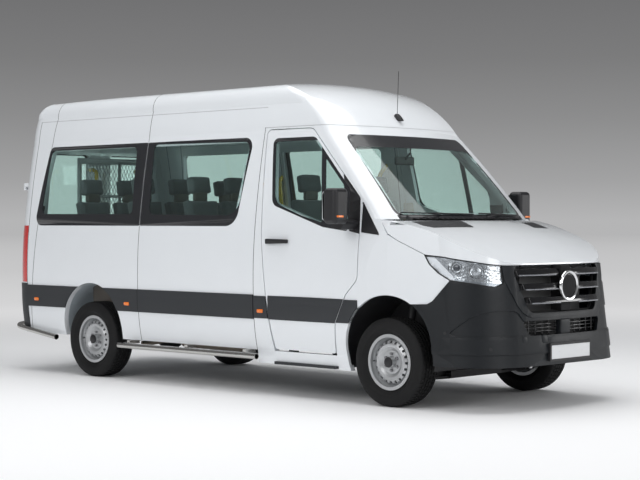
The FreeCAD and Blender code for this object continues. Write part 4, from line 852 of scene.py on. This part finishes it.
class MINIBUS_OT_grille_trim(bpy.types.Operator):
    """Surround of the grille, its slats with their bright lines, and the plain ring and disc"""

    bl_idname = "minibus.grille_trim"
    bl_label = "Grille"

    def execute(self, context):
        surround = patch("front_bumper", "grille_surround", front_plate("cut", SURROUND, 0.6, 1.2, 8))
        pushed(surround, 0.013, lambda c, n: n.x > 0.5)
        fitted(rounded_edges(surround, 0.006, 4, 50), "bumper_plastic")
        lines, blades = [], []
        for z in SLAT_HEIGHTS:
            reach = 0.418 + (z - 0.748) * 0.414
            steps = [reach * (k / 5 - 1) for k in range(11)]
            front = [(slat_x(0.993, y, z), y) for y in steps]
            rows = [(x, y, 0) for x, y in front] + [(x - 0.045, y, 0) for x, y in reversed(front)]
            blade = plan_plate("blade", rows, z, z + 0.046)
            open_faces(blade, lambda c, n: n.z > 0.9)
            bpy.ops.transform.translate(value=(-0.016, 0, 0))
            bpy.ops.object.mode_set(mode="OBJECT")
            blades.append(rounded_edges(blade, 0.004, 3, 60))
            for s in (-1, 1):
                places = [s * (0.122 + (reach - 0.134) * k / 6) for k in range(7)]
                lines.append(tube("line", [at(slat_x(0.995, y, z), y, z) for y in places], 0.0058))
        fitted(joined("grille_blades", blades), "gloss_black")
        fitted(joined("grille_lines", lines), "satin_line")
        fitted(spun("plain_ring", PLAIN_RING, at(1.032, 0, 0.953), (1, 0, 0), 64), "bright_chrome")
        fitted(spun("plain_disc", PLAIN_DISC, at(1.029, 0, 0.953), (1, 0, 0), 48), "gloss_black")
        return {"FINISHED"}


class MINIBUS_OT_bumper_trim(bpy.types.Operator):
    """Lower intake bars and stay, raised skin and band, square covers, plate frame and parking sensors"""

    bl_idname = "minibus.bumper_trim"
    bl_label = "Bumper details"

    def execute(self, context):
        bars = [tube("bar", [at(0.968 - 0.12 * y * y, y, z) for y in (-0.50, -0.25, 0, 0.25, 0.50)], 0.005)
                for z in (0.607, 0.634, 0.661)]
        first = tube("bar", [at(0.948, -0.42, 0.572), at(0.948, -0.42, 0.694)], 0.0045)
        for k in range(1, 11):
            bars.append(moved_copy(first, "bar", Vector((0.018 * (1 - abs(k - 5) / 5), 0.084 * k, 0))))
        fitted(joined("intake_bars", bars + [first]), "gloss_black")
        stay = front_plate("intake_stay", oblong(-0.085, 0.045, 0.572, 0.696), 0.960, 1.016)
        fitted(rounded_edges(stay, 0.010), "bumper_plastic")

        def outward(c, n):
            return n.x * max(c.x - AXLE_X - 0.1, 0) + n.y * c.y > 0.35 and abs(n.z) < 0.7

        cover = trimmed(skin_of("front_bumper", "bumper_cover"), ((COVER_X, 0, 0), (-1, 0, 0)),
                        ((0, 0, 0.440), (0, 0, -1)))
        for _, s in SIDES:
            carve(cover, front_plate("cut", [(s * -y, z, r) for y, z, r in RECESS], 0.45, 1.2))
        fitted(rounded_edges(pushed(cover, COVER_PROUD, outward), 0.004, 3, 50), "bumper_plastic")
        band = cut_between(skin_of("front_bumper", "bumper_band"), at(0, 0, 0.508), (0, 0, 1), 0.126)
        trimmed(band, ((0.52, 0, 0), (-1, 0, 0)))
        fitted(rounded_edges(pushed(band, BAND_PROUD, outward), 0.003, 3, 50), "bumper_plastic")
        for name, y, z, size in (("tow_eye_cover", -0.30, 0.548, 0.066), ("bumper_square", -0.512, 0.553, 0.052)):
            place, normal = touch(at(1.3, y + 0.040, z), (-1, 0, 0), "front_bumper")
            place = place + Vector((0, -0.040, 0)) - Vector((normal.y / normal.x * -0.040, 0, 0))
            fitted(lozenge(name, place, normal, (0, 1, 0), size, size, 0.0125), "bumper_plastic")
        low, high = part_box("number_plate")
        x, wide, z0, z1 = high.x - AXLE_X, high.y, low.z, high.z
        holder = front_plate("plate_frame", oblong(-wide - 0.010, wide + 0.010, z0 - 0.010, z1 + 0.010, 0.008),
                             x - 0.020, x + 0.003, 3)
        carve(holder, front_plate("cut", oblong(-wide + 0.008, wide - 0.008, z0 + 0.008, z1 - 0.008, 0.004),
                                  x - 0.04, x + 0.02, 3))
        fitted(holder, "black_plastic")
        for side, s in SIDES:
            for i, ((x, y, z), (ahead, out)) in enumerate(SENSORS):
                way = Vector((ahead, s * out, 0))
                place, normal = touch(at(x, s * y, z) + way.normalized() * 0.25, -way, "front_bumper")
                lift = BAND_PROUD if i else COVER_PROUD
                dot = spun(f"sensor_{side}_{i}", SENSOR, place + normal * (lift - 0.003), normal, 24)
                fitted(dot, "black_plastic")
        return {"FINISHED"}


# ---------------------------------------------------------------- bonnet, wipers, aerial
VENTS = {
    "right": [(0.102, -0.809), (0.198, -0.306), (0.384, -0.37), (0.315, -0.78), (0.25, -0.825)],
    "left": [(0.249, 0.434), (0.182, 0.67), (0.385, 0.618), (0.399, 0.406)],
}
WIPERS = [
    # pivot y, z; blade's ends y, z
    ((-0.60, 1.475), (-0.77, 1.512), (-0.05, 1.500)),
    ((0.10, 1.478), (0.03, 1.508), (0.66, 1.494)),
]


class MINIBUS_OT_bonnet_trim(bpy.types.Operator):
    """Air vents let into the bonnet"""

    bl_idname = "minibus.bonnet_trim"
    bl_label = "Bonnet vents"

    def execute(self, context):
        for side, outline in VENTS.items():
            tool = plan_plate("cut", [(x, y, 0.012 + 0.0001 * i) for i, (x, y) in enumerate(outline)], 1.2, 1.6, 4)
            fitted(swell(patch("bonnet", f"bonnet_vent_{side}", tool), FILM), "vent_mesh", "bonnet")
        return {"FINISHED"}


class MINIBUS_OT_wipers(bpy.types.Operator):
    """Wiper arms and blades, the strip below the windscreen, and the roof aerial"""

    bl_idname = "minibus.wipers"
    bl_label = "Wipers and aerial"

    def execute(self, context):
        def on_screen(y, z, lift):
            place, normal = touch(at(AHEAD, y, z), (-1, 0, 0), "windscreen", "cab_frame", "bonnet")
            return place + normal * lift

        for i, (pivot, one, two) in enumerate(WIPERS):
            ends = [on_screen(one[0] + (two[0] - one[0]) * t, one[1] + (two[1] - one[1]) * t, 0.009)
                    for t in (0, 0.25, 0.5, 0.75, 1)]
            spine = [p + Vector((0.006, 0, 0.004)) for p in ends]
            blade = joined(f"wiper_blade_{i}", [tube("blade", ends, 0.0042), tube("spine", spine, 0.0035)])
            fitted(blade, "black_plastic")
            foot = on_screen(pivot[0], pivot[1], 0.012)
            mid = ends[2] + Vector((0.009, 0, 0.005))
            bow = [foot.lerp(mid, t) + Vector((x, 0, z))
                   for t, x, z in ((0.3, 0.009, 0.003), (0.6, 0.009, 0.003), (0.85, 0.005, 0.002))]
            fitted(tube(f"wiper_arm_{i}", [foot] + bow + [mid], 0.0052), "black_plastic")
        cowl = cut_between(skin_of("cab_frame", "scuttle_strip"), at(0, 0, 1.479), (0, 0, 1), 0.040)
        trimmed(cowl, ((0, -0.80, 0), (0, -1, 0)), ((0, 0.80, 0), (0, 1, 0)), ((-0.10, 0, 0), (-1, 0, 0)))
        fitted(swell(cowl, FILM), "black_plastic")
        place, normal = touch(at(-0.73, 0, 3), (0, 0, -1), "roof", "cab_frame")
        fin = side_plate("aerial_foot", [(-0.800, place.z - 0.012, 0), (-0.676, place.z - 0.012, 0),
                                         (-0.700, place.z + 0.020, 0.012), (-0.735, place.z + 0.052, 0.008),
                                         (-0.752, place.z + 0.052, 0.008)], -0.022, 0.022)
        rounded_edges(fin, 0.010)
        tip = Vector((place.x + 0.004, 0, 2.728))
        mast = tube("aerial_mast", [place + Vector((-0.012, 0, 0.03)), tip], 0.0026)
        fitted(joined("aerial", [fin, mast]), "black_plastic")
        return {"FINISHED"}


# ---------------------------------------------------------------- tail
TAIL_BLOCKS = [
    # name, y and z, long, tall and half thick, finish, body, the nodes that it lies on
    ("rear_handle", (-0.13, 1.25), (0.14, 0.040, 0.022), "black_plastic", "rear_door_right", ["rear_door_right"]),
    ("rear_plate", (0.30, 0.86), (0.52, 0.112, 0.004), "plate_white", "rear_door_left", ["rear_door_left"]),
    ("brake_lamp_high", (0, 2.46), (0.34, 0.030, 0.010), "red_lens", "body", ["roof", "rear_frame"]),
]


class MINIBUS_OT_tail_trim(bpy.types.Operator):
    """Rear handle, blank plate, high brake lamp, reflectors, amber and clear lenses, mirror faces and flashers"""

    bl_idname = "minibus.tail_trim"
    bl_label = "Tail and mirror details"

    def execute(self, context):
        for name, (y, z), size, look, body, nodes in TAIL_BLOCKS:
            place, normal = touch(at(BEHIND, y, z), (1, 0, 0), *nodes)
            fitted(lozenge(name, place, normal, (0, 1, 0), *size), look, body)
        for side, s in SIDES:
            place, normal = touch(at(BEHIND, s * 0.70, 0.52), (1, 0, 0), f"rear_door_{side}", "rear_frame")
            mark = lozenge(f"reflector_{side}", place, normal, (0, 1, 0), 0.11, 0.045, 0.005)
            fitted(mark, "red_lens", f"rear_door_{side}")
            for name, z0, z1, look in (("tail_amber", 1.27, 1.36, "amber_lens"),
                                       ("tail_clear", 0.90, 0.99, "clear_lens")):
                lens = trimmed(skin_of("tail_lamps", f"{name}_{side}"), ((0, 0, z0), (0, 0, -1)),
                               ((0, 0, z1), (0, 0, 1)), ((0, 0, 0), (0, -s, 0)), ((0, s * 0.935, 0), (0, s, 0)))
                fitted(swell(lens, FILM), look)
            box_low, box_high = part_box(f"mirror_{side}")
            y0 = box_low.y if s < 0 else box_high.y
            outer, inner, back = y0 - s * 0.022, y0 - s * 0.140, box_low.x - AXLE_X
            rows = [(outer, 1.46, 0.02), (outer, 1.685, 0.02), (inner, 1.685, 0.02), (inner, 1.46, 0.02)]
            face = front_plate(f"mirror_face_{side}", rows, back - 0.0015, back + 0.006)
            fitted(rounded_edges(face, 0.001, 2), "mirror_silver", f"front_door_{side}")
            y = (box_low.y + box_high.y) / 2 + s * 0.10
            place, normal = touch(at(0.3, y, 1.49), (-1, 0, 0), f"mirror_{side}")
            flash = lozenge(f"mirror_flasher_{side}", place, normal, (0, 1, 0), 0.075, 0.016, 0.003)
            fitted(flash, "amber_lens", f"front_door_{side}")
        return {"FINISHED"}


# ---------------------------------------------------------------- wheels
def mirrored(half):
    """Rows radius, distance of one half of an outline, then those of the other half back again."""
    return half + [(radius, -distance) for radius, distance in reversed(half)]


TREAD = mirrored([
    (0.203, -0.082), (0.225, -0.084), (0.262, -0.1175), (0.285, -0.1172), (0.305, -0.1160), (0.338, -0.1020),
    (0.347, -0.0885), (0.3498, -0.0700), (0.3500, -0.0560), (0.3430, -0.0545), (0.3430, -0.0475),
    (0.3500, -0.0460), (0.3500, -0.0210), (0.3430, -0.0195), (0.3430, -0.0125), (0.3500, -0.0110)])
TREAD += mirrored([(0.203, 0.060), (0.229, 0.070), (0.262, 0.1035), (0.300, 0.1035), (0.334, 0.0735)])
HUB_CAP = [(0, 0.094), (0.036, 0.094), (0.041, 0.098), (0.040, 0.1025), (0.030, 0.106), (0, 0.1075)]


class MINIBUS_OT_wheels(bpy.types.Operator):
    """Tyres with their tread, wheel bolts, hub caps and valves"""

    bl_idname = "minibus.wheels"
    bl_label = "Wheels"

    def execute(self, context):
        pitches = context.scene.minibus_wheels.pitches
        depth = context.scene.minibus_wheels.groove
        low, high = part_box("tyre_front_left")
        centre = (low + high) / 2
        tyre = spun("tyre_model", TREAD, centre, (0, 1, 0), pitches * 3)

        def in_groove(place, normal):
            out = place - centre
            radius = math.hypot(out.x, out.z)
            if radius < 0.344 or abs(normal.y) > 0.8:
                return False
            turn = math.atan2(out.z, out.x) / (2 * math.pi) * pitches
            offset = 0.33 * (1 if out.y > 0 else 0) + 0.33 * (1 if abs(out.y) < 0.05 else 0)
            wide = abs(out.y) > 0.057
            return (turn + offset) % 1.0 < (0.34 if wide else 0.33)

        pushed(tyre, -depth * 0.7, in_groove)
        turns = [math.radians(60 * k) for k in range(6)]
        bolt = ring("bolt_model", [centre + Vector((0.013 * math.cos(a), 0.052, 0.013 * math.sin(a)))
                                   for a in turns], filled=True)
        rounded_edges(drawn_out(bolt, (0, 0.020, 0)), 0.0022, 2, 30)
        turns = [math.radians(60 * k + 30) for k in range(6)]
        circle = [moved_copy(bolt, "bolt", Vector((0.065 * math.cos(a), 0, 0.065 * math.sin(a)))) for a in turns]
        bpy.data.objects.remove(bolt)
        bolts = joined("bolts_model", circle)
        cap = spun("cap_model", HUB_CAP, centre, (0, 1, 0), 40)
        valve = tube("valve", [centre + Vector((0.180, 0.052, 0)), centre + Vector((0.172, 0.082, 0))], 0.004)
        about, back = Matrix.Rotation(math.pi, 4, "Z"), Matrix.Translation(-centre)
        models = ((tyre, "tread_tyre", "tyre_rubber"), (bolts, "wheel_bolts", "bolt_steel"),
                  (cap, "hub_cap", "black_plastic"), (valve, "valve_stem", "seal_rubber"))
        for end in ENDS:
            for side, s in SIDES:
                body = f"wheel_{end}_{side}"
                place_low, place_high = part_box(f"tyre_{end}_{side}")
                step = (place_low + place_high) / 2 - centre
                move = Matrix.Translation(centre + step) @ about @ back if s < 0 else step
                for source, name, look in models:
                    piece = fitted(moved_copy(source, f"{name}_{end}_{side}", move), look, body, angle=35)
                    if source is tyre:
                        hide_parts(f"tyre_{end}_{side}")
        for source in (tyre, bolts, cap, valve):
            bpy.data.objects.remove(source)
        return {"FINISHED"}


# ---------------------------------------------------------------- seats
FRONT_PLACES = [(-0.760, 0.440), (-0.760, -0.440)]
SEAT_PLACES = [(-1.950, -0.640), (-1.950, -0.190), (-2.720, -0.640), (-2.720, -0.190), (-2.990, 0.640),
               (-3.490, -0.640), (-3.490, -0.190)]
FLOOR_Z = 0.680


def block(name, centre, size, cuts=0):
    """A box about centre, with its faces divided."""
    bpy.ops.mesh.primitive_cube_add(size=1, location=centre)
    ob = bpy.context.object
    ob.name = ob.data.name = name
    ob.scale = size
    bpy.ops.object.transform_apply(location=True, rotation=True, scale=True)
    if cuts:
        open_faces(ob)
        bpy.ops.mesh.subdivide(number_cuts=cuts)
        bpy.ops.object.mode_set(mode="OBJECT")
    return ob


def soft_block(name, centre, size, width, segments=3, cuts=0):
    """A block with rounded edges."""
    return rounded_edges(block(name, centre, size, cuts), width, segments)


def blown_up(ob, pressure, most, voxel=0.012):
    """Swell a pad like filled cloth; no point moves more than most."""
    modified(ob, "REMESH", mode="VOXEL", voxel_size=voxel)
    start = [v.co.copy() for v in ob.data.vertices]
    cloth = ob.modifiers.new("cloth", "CLOTH")
    cloth.settings.use_pressure = True
    cloth.settings.uniform_pressure_force = pressure
    cloth.settings.effector_weights.gravity = 0
    cloth.settings.tension_stiffness = cloth.settings.compression_stiffness = 12
    scene = bpy.context.scene
    for step in range(1, 19):
        scene.frame_set(step)
    bpy.ops.object.modifier_apply(modifier="cloth")
    scene.frame_set(1)
    for vertex, was in zip(ob.data.vertices, start):
        move = vertex.co - was
        if move.length > most:
            vertex.co = was + move.normalized() * most
    return ob


def leaning(ob, x0, z0, x1, z1):
    """Lean an upright pad standing on the origin so that it runs from x0, z0 to x1, z1."""
    tilt = math.atan2(x1 - x0, z1 - z0)
    ob.data.transform(Matrix.Translation((x0, 0, z0)) @ Matrix.Rotation(tilt, 4, "Y"))
    return ob


def sewn_pad(name, centre, size, axis, reach, edge):
    """A pad whose faces along axis are set in and sewn, as far as reach from its middle."""
    pad = block(name, centre, size, 5)
    open_faces(pad, lambda place, normal: normal[axis] > 0.7 and abs(place.y) < reach)
    bpy.ops.mesh.inset(thickness=0.012, depth=-0.006)
    bpy.ops.object.mode_set(mode="OBJECT")
    return blown_up(rounded_edges(pad, edge, 3, 50), 3.5, 0.013)


def seat_model(name, width):
    """One padded seat about its front edge on the floor: cushion, back and head rest with sewn rolls."""
    reach = width / 2 - 0.09
    cushion = sewn_pad("cushion", (-0.226, 0, 0.352), (0.430, width - 0.030, 0.088), 2, reach, 0.016)
    back = sewn_pad("back", (-0.048, 0, 0.318), (0.082, width - 0.040, 0.610), 0, reach, 0.018)
    leaning(back, -0.420, 0.360, -0.545, 1.000)
    head = rounded_edges(block("head", (-0.055, 0, 0.088), (0.086, 0.235, 0.150), 3), 0.026, 4, 50)
    leaning(blown_up(head, 3.0, 0.010), -0.532, 1.015, -0.562, 1.190)
    return modified(joined(name, [cushion, back, head]), "SMOOTH", factor=0.4, iterations=2)


def seat_frame(name, width):
    """The hard parts of a seat: pedestal, side skirts, head rest posts and belt stalk."""
    parts = [soft_block("pedestal", (-0.230, 0, 0.150), (0.340, width - 0.12, 0.300), 0.020),
             soft_block("pan", (-0.226, 0, 0.296), (0.420, width - 0.06, 0.030), 0.008, 2)]
    for s in (-1, 1):
        parts.append(soft_block("skirt", (-0.40, s * (width / 2 - 0.006), 0.345), (0.150, 0.020, 0.110), 0.007))
        parts.append(tube("post", [Vector((-0.585, s * 0.06, 0.96)), Vector((-0.592, s * 0.06, 1.04))], 0.007))
    parts.append(soft_block("neck", (-0.582, 0, 0.995), (0.046, 0.150, 0.090), 0.014, cuts=1))
    parts.append(soft_block("stalk", (-0.41, -width / 2 - 0.006, 0.40), (0.022, 0.014, 0.150), 0.005, 2))
    return joined(name, parts)


class MINIBUS_OT_seats(bpy.types.Operator):
    """Padded front and passenger seats on their pedestals"""

    bl_idname = "minibus.seats"
    bl_label = "Seats"

    def execute(self, context):
        for kind, places, width in (("front_seats", FRONT_PLACES, 0.50), ("passenger_seats", SEAT_PLACES, 0.42)):
            pads, hard = seat_model("pads", width), seat_frame("hard", width)
            for i, (x, y) in enumerate(places):
                step = at(x, y, FLOOR_Z)
                piece = moved_copy(pads, f"{kind}_pads_{i}", step)
                fitted(piece, "seat_cloth", angle=60)
                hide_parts(kind)
                fitted(moved_copy(hard, f"{kind}_base_{i}", step), "dash_grain")
            bpy.data.objects.remove(pads)
            bpy.data.objects.remove(hard)
        return {"FINISHED"}


# ---------------------------------------------------------------- cabin
DASH_VENT = [(0.016, 0), (0.045, 0), (0.047, 0.006), (0.040, 0.012), (0.030, 0.005), (0.016, 0.004)]


class MINIBUS_OT_cabin(bpy.types.Operator):
    """Inside mirror, instrument hood, centre screen, vents, a strip painted with a warm highlight, rail sleeves,
    beige pillar trims partly painted with warm light, and blinds painted with warm light
    """

    bl_idname = "minibus.cabin"
    bl_label = "Cabin details"

    def execute(self, context):
        glass, _ = touch(at(AHEAD, -0.173, 2.02), (-1, 0, 0), "windscreen")
        x = glass.x - AXLE_X
        mirror = soft_block("inside_mirror", at(x - 0.075, -0.173, 1.955), (0.030, 0.235, 0.070), 0.013, 4)
        stem = tube("stem", [at(x - 0.012, -0.173, 2.02), at(x - 0.066, -0.173, 1.965)], 0.009)
        fitted(joined("inside_mirror", [mirror, stem]), "black_plastic")
        hood = soft_block("instrument_hood", at(-0.330, 0.42, 1.375), (0.22, 0.40, 0.075), 0.028, 4, 2)
        fitted(hood, "dash_grain")
        fitted(soft_block("centre_screen", at(-0.452, 0.0, 1.375), (0.022, 0.26, 0.135), 0.008), "gloss_black")
        for i, y in enumerate((-0.74, -0.16, 0.16, 0.74)):
            vent = spun(f"dash_vent_{i}", DASH_VENT, at(-0.500, y, 1.255), (-1, 0, 0.3), 28)
            fitted(vent, "bright_chrome", slot="dash_plastic")
        # this strip's orange is a painted highlight of warm light falling on the dash
        fitted(soft_block("warm_trim", at(-0.486, -0.46, 1.238), (0.020, 0.46, 0.030), 0.006), "warm_panel")
        fitted(swell(skin_of("handrails", "rail_sleeves"), 0.004), "rail_yellow")
        for side, s in SIDES:
            # the pillar trims' beige is partly their own colour and partly painted warm light
            pillar = soft_block(f"pillar_trim_{side}", at(-1.385, s * 0.908, 1.40), (0.125, 0.026, 0.76), 0.009)
            fitted(pillar, "beige_trim")
            # the blinds' orange is painted warm light, not their own colour
            blind = soft_block(f"sun_blind_{side}", at(-0.80, s * 0.36, 2.128), (0.15, 0.40, 0.016), 0.006, cuts=1)
            fitted(blind, "warm_panel")
        return {"FINISHED"}


# ---------------------------------------------------------------- lift
MESH_HOLE = (0.405, 1.02, 2.02)     # half width, bottom and top of the open mesh in the lift's platform
MESH_WIRE = 0.0085


class MINIBUS_OT_lift(bpy.types.Operator):
    """Expanded metal mesh, bars and frame of the folded wheelchair lift"""

    bl_idname = "minibus.lift"
    bl_label = "Wheelchair lift"

    def execute(self, context):
        low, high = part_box("wheelchair_lift")
        half, z0, z1 = MESH_HOLE
        body = skin_of("wheelchair_lift", "lift")
        mid_z = (z0 + z1) / 2
        carve(body, block("cut", Vector(((low.x + high.x) / 2, 0, mid_z)), (0.4, half * 2, z1 - z0)))
        bpy.ops.mesh.primitive_grid_add(x_subdivisions=26, y_subdivisions=40, size=1)
        lattice = context.object
        stretch = Matrix.Diagonal((z1 - z0 + 0.02, half * 2 + 0.02, 1, 1))
        upright = Matrix.Rotation(math.radians(90), 4, "Y")
        lattice.data.transform(Matrix.Translation((high.x - 0.020, 0, mid_z)) @ upright @ stretch)
        open_faces(lattice)
        bpy.ops.mesh.unsubdivide(iterations=1)
        bpy.ops.object.mode_set(mode="OBJECT")
        modified(lattice, "WIREFRAME", thickness=MESH_WIRE, use_even_offset=False)
        x = high.x - 0.030
        bars = [soft_block("bar", (x, 0, z), (0.024, half * 2 + 0.02, 0.028), 0.004, 2)
                for z in (z0 + 0.32, z1 - 0.32)]
        bars.append(soft_block("bar", (x - 0.012, 0.02, mid_z), (0.020, 0.034, z1 - z0 + 0.02), 0.004, 2))
        fitted(joined("wheelchair_lift_mesh", [body, lattice] + bars), "mesh_grey")
        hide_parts("wheelchair_lift")
        return {"FINISHED"}


# ---------------------------------------------------------------- stage
FLOOR_REACH = 150.0
BACK_GREY = (0.46, 0.46, 0.465)     # the backdrop where it meets the floor
LAMPS = [
    # name, place, what it is aimed at, its two sides, power
    ("lamp_above", (-1.5, 0, 7.5), (-1.5, 0, 0), 9.0, 7.0, 395),
    ("lamp_near_side", (-1.0, -9.0, 5.0), (-1.8, 0, 1.2), 7.0, 4.0, 228),
    ("lamp_front", (9.0, -2.5, 4.5), (0, 0, 1.0), 4.0, 4.0, 205),
    ("lamp_far_side", (6.5, 7.5, 2.4), (0.6, 0, 0.9), 4.0, 2.0, 130),
]


def grey_ramp(mat, ends, between, **sockets):
    """A colour ramp: place and colour of both its ends, place and value of the greys between them."""
    ramp = add_node(mat, "ShaderNodeValToRGB", **sockets)
    stops = ramp.color_ramp.elements
    for i, (where, colour) in enumerate(ends):
        stops[i].position, stops[i].color = where, rgba(colour)
    for where, value in between:
        stops.new(where).color = (value, value, value * 1.01, 1)
    return ramp.outputs["Color"]


def seen_rays(mat, rays):
    """1 for what the camera, gloss and glass see."""
    sight = rays.outputs["Is Camera Ray"]
    for kind in ("Is Glossy Ray", "Is Transmission Ray"):
        sight = add_node(mat, "ShaderNodeMath", operation="MAXIMUM", i0=sight, i1=rays.outputs[kind]).outputs[0]
    return sight


def floor_finish(colour):
    """Seamless floor: plain paper that keeps the shadow, and far off the grey that the backdrop starts with."""
    mat, shader, place = base_finish("floor_paper")
    reach = add_node(mat, "ShaderNodeVectorMath", operation="LENGTH", i0=place).outputs["Value"]
    near = add_node(mat, "ShaderNodeMapRange", Value=reach, From_Min=8.0, From_Max=20.0).outputs["Result"]
    tinted(mat, shader, near, colour, (0.66, 0.66, 0.665))
    fibre = add_node(mat, "ShaderNodeTexNoise", Vector=place, Scale=40.0, Detail=4.0).outputs["Fac"]
    embossed(mat, shader, fibre, 0.04, 0.002)
    plain(mat, shader, Roughness=0.75)
    share = add_node(mat, "ShaderNodeMath", operation="DIVIDE", i0=reach, i1=FLOOR_REACH).outputs[0]
    fade = grey_ramp(mat, ((0.0, (0.92, 0.92, 0.925)), (1.0, BACK_GREY)),
                     ((0.05, 0.77), (0.10, 0.65), (0.22, 0.57), (0.70, 0.49)), Fac=share)
    glow = add_node(mat, "ShaderNodeEmission", Color=fade, Strength=1.0)
    far = add_node(mat, "ShaderNodeMapRange", Value=reach, From_Min=4.5, From_Max=13.0,
                   interpolation_type="SMOOTHSTEP").outputs["Result"]
    sight = seen_rays(mat, add_node(mat, "ShaderNodeLightPath"))
    share = add_node(mat, "ShaderNodeMath", operation="MULTIPLY", i0=far, i1=sight).outputs[0]
    return surface(mat, add_node(mat, "ShaderNodeMixShader", i0=share, i1=shader.outputs[0], i2=glow.outputs[0]))


def light_world(scene):
    """Plain even light all round. The camera, gloss and glass see a grey backdrop, and what is seen through
    two panes of glass is a white hall."""
    world = bpy.data.worlds.new("studio")
    scene.world = world
    world.use_nodes = True
    world.node_tree.nodes.clear()
    place = add_node(world, "ShaderNodeTexCoord").outputs["Generated"]
    height = add_node(world, "ShaderNodeSeparateXYZ", i0=place).outputs["Z"]
    grey = grey_ramp(world, ((0.0, BACK_GREY), (0.134, (0.165, 0.165, 0.168))),
                     ((0.024, 0.36), (0.061, 0.265), (0.097, 0.20)), Fac=height)
    rays = add_node(world, "ShaderNodeLightPath")
    panes = add_node(world, "ShaderNodeMath", operation="GREATER_THAN", i0=rays.outputs["Transparent Depth"],
                     i1=2.5)
    backdrop = add_node(world, "ShaderNodeBackground", Color=grey)
    hall = add_node(world, "ShaderNodeBackground", Color=(0.96, 0.97, 0.96, 1))
    back = add_node(world, "ShaderNodeMixShader", i0=panes.outputs[0], i1=backdrop.outputs[0], i2=hall.outputs[0])
    even = add_node(world, "ShaderNodeBackground", Color=(0.95, 0.97, 1.0, 1), Strength=0.42)
    mix = add_node(world, "ShaderNodeMixShader", i0=seen_rays(world, rays), i1=even.outputs[0], i2=back.outputs[0])
    add_node(world, "ShaderNodeOutputWorld", Surface=mix.outputs[0])


def lamp(name, place, aim, wide, deep, power):
    """A soft rectangular lamp at place that shines at aim."""
    bpy.ops.object.light_add(type="AREA", location=place)
    ob = bpy.context.object
    ob.name = name
    ob.data.shape, ob.data.size, ob.data.size_y, ob.data.energy = "RECTANGLE", wide, deep, power
    ob.rotation_euler = (aim - place).to_track_quat("-Z", "Y").to_euler()


class MINIBUS_OT_stage(bpy.types.Operator):
    """Set up the floor, the grey backdrop, the soft lamps and the camera"""

    bl_idname = "minibus.stage"
    bl_label = "Stage"

    def execute(self, context):
        settings = context.scene.minibus_stage
        context.scene.view_settings.view_transform = "Standard"
        bpy.ops.mesh.primitive_circle_add(vertices=96, radius=FLOOR_REACH, fill_type="NGON")
        floor = context.object
        floor.name = "floor_sheet"
        floor.data.materials.append(floor_finish(tuple(settings.floor)))
        light_world(context.scene)
        for name, place, aim, *rest in LAMPS:
            lamp(name, at(*place), at(*aim), *rest)
        bpy.ops.object.camera_add(location=at(8.472, -10.605, 1.461),
                                  rotation=(math.radians(90) - 0.0121, 0, math.radians(43.67)))
        camera = context.object
        camera.name = "camera"
        camera.data.lens, camera.data.sensor_width = settings.lens, 36
        camera.data.clip_end = 400
        context.scene.camera = camera
        return {"FINISHED"}


# ---------------------------------------------------------------- panel and run
STEPS = (MINIBUS_OT_body_finish, MINIBUS_OT_borders, MINIBUS_OT_seams, MINIBUS_OT_side_trim, MINIBUS_OT_headlamps,
         MINIBUS_OT_grille_trim, MINIBUS_OT_bumper_trim, MINIBUS_OT_bonnet_trim, MINIBUS_OT_wipers,
         MINIBUS_OT_tail_trim, MINIBUS_OT_wheels, MINIBUS_OT_seats, MINIBUS_OT_cabin, MINIBUS_OT_lift,
         MINIBUS_OT_stage)
SETTINGS = (("minibus_body", BodySettings), ("minibus_wheels", WheelSettings), ("minibus_cabin", CabinSettings),
            ("minibus_stage", StageSettings))


class MINIBUS_PT_build(bpy.types.Panel):
    bl_label = "Minibus"
    bl_idname = "MINIBUS_PT_build"
    bl_space_type = "VIEW_3D"
    bl_region_type = "UI"
    bl_category = "Minibus"

    def draw(self, context):
        for settings, _ in SETTINGS:
            group = getattr(context.scene, settings)
            box = self.layout.box()
            for name in group.__annotations__:
                box.prop(group, name)
        for step in STEPS:
            self.layout.operator(step.bl_idname)


def register():
    for name, group in SETTINGS:
        bpy.utils.register_class(group)
        setattr(bpy.types.Scene, name, bpy.props.PointerProperty(type=group))
    for step in STEPS:
        bpy.utils.register_class(step)
    bpy.utils.register_class(MINIBUS_PT_build)


def unregister():
    bpy.utils.unregister_class(MINIBUS_PT_build)
    for step in reversed(STEPS):
        bpy.utils.unregister_class(step)
    for name, group in reversed(SETTINGS):
        delattr(bpy.types.Scene, name)
        bpy.utils.unregister_class(group)


def main():
    register()
    for step in STEPS:
        getattr(bpy.ops.minibus, step.bl_idname.split(".")[1])()


if __name__ == "__main__":
    main()
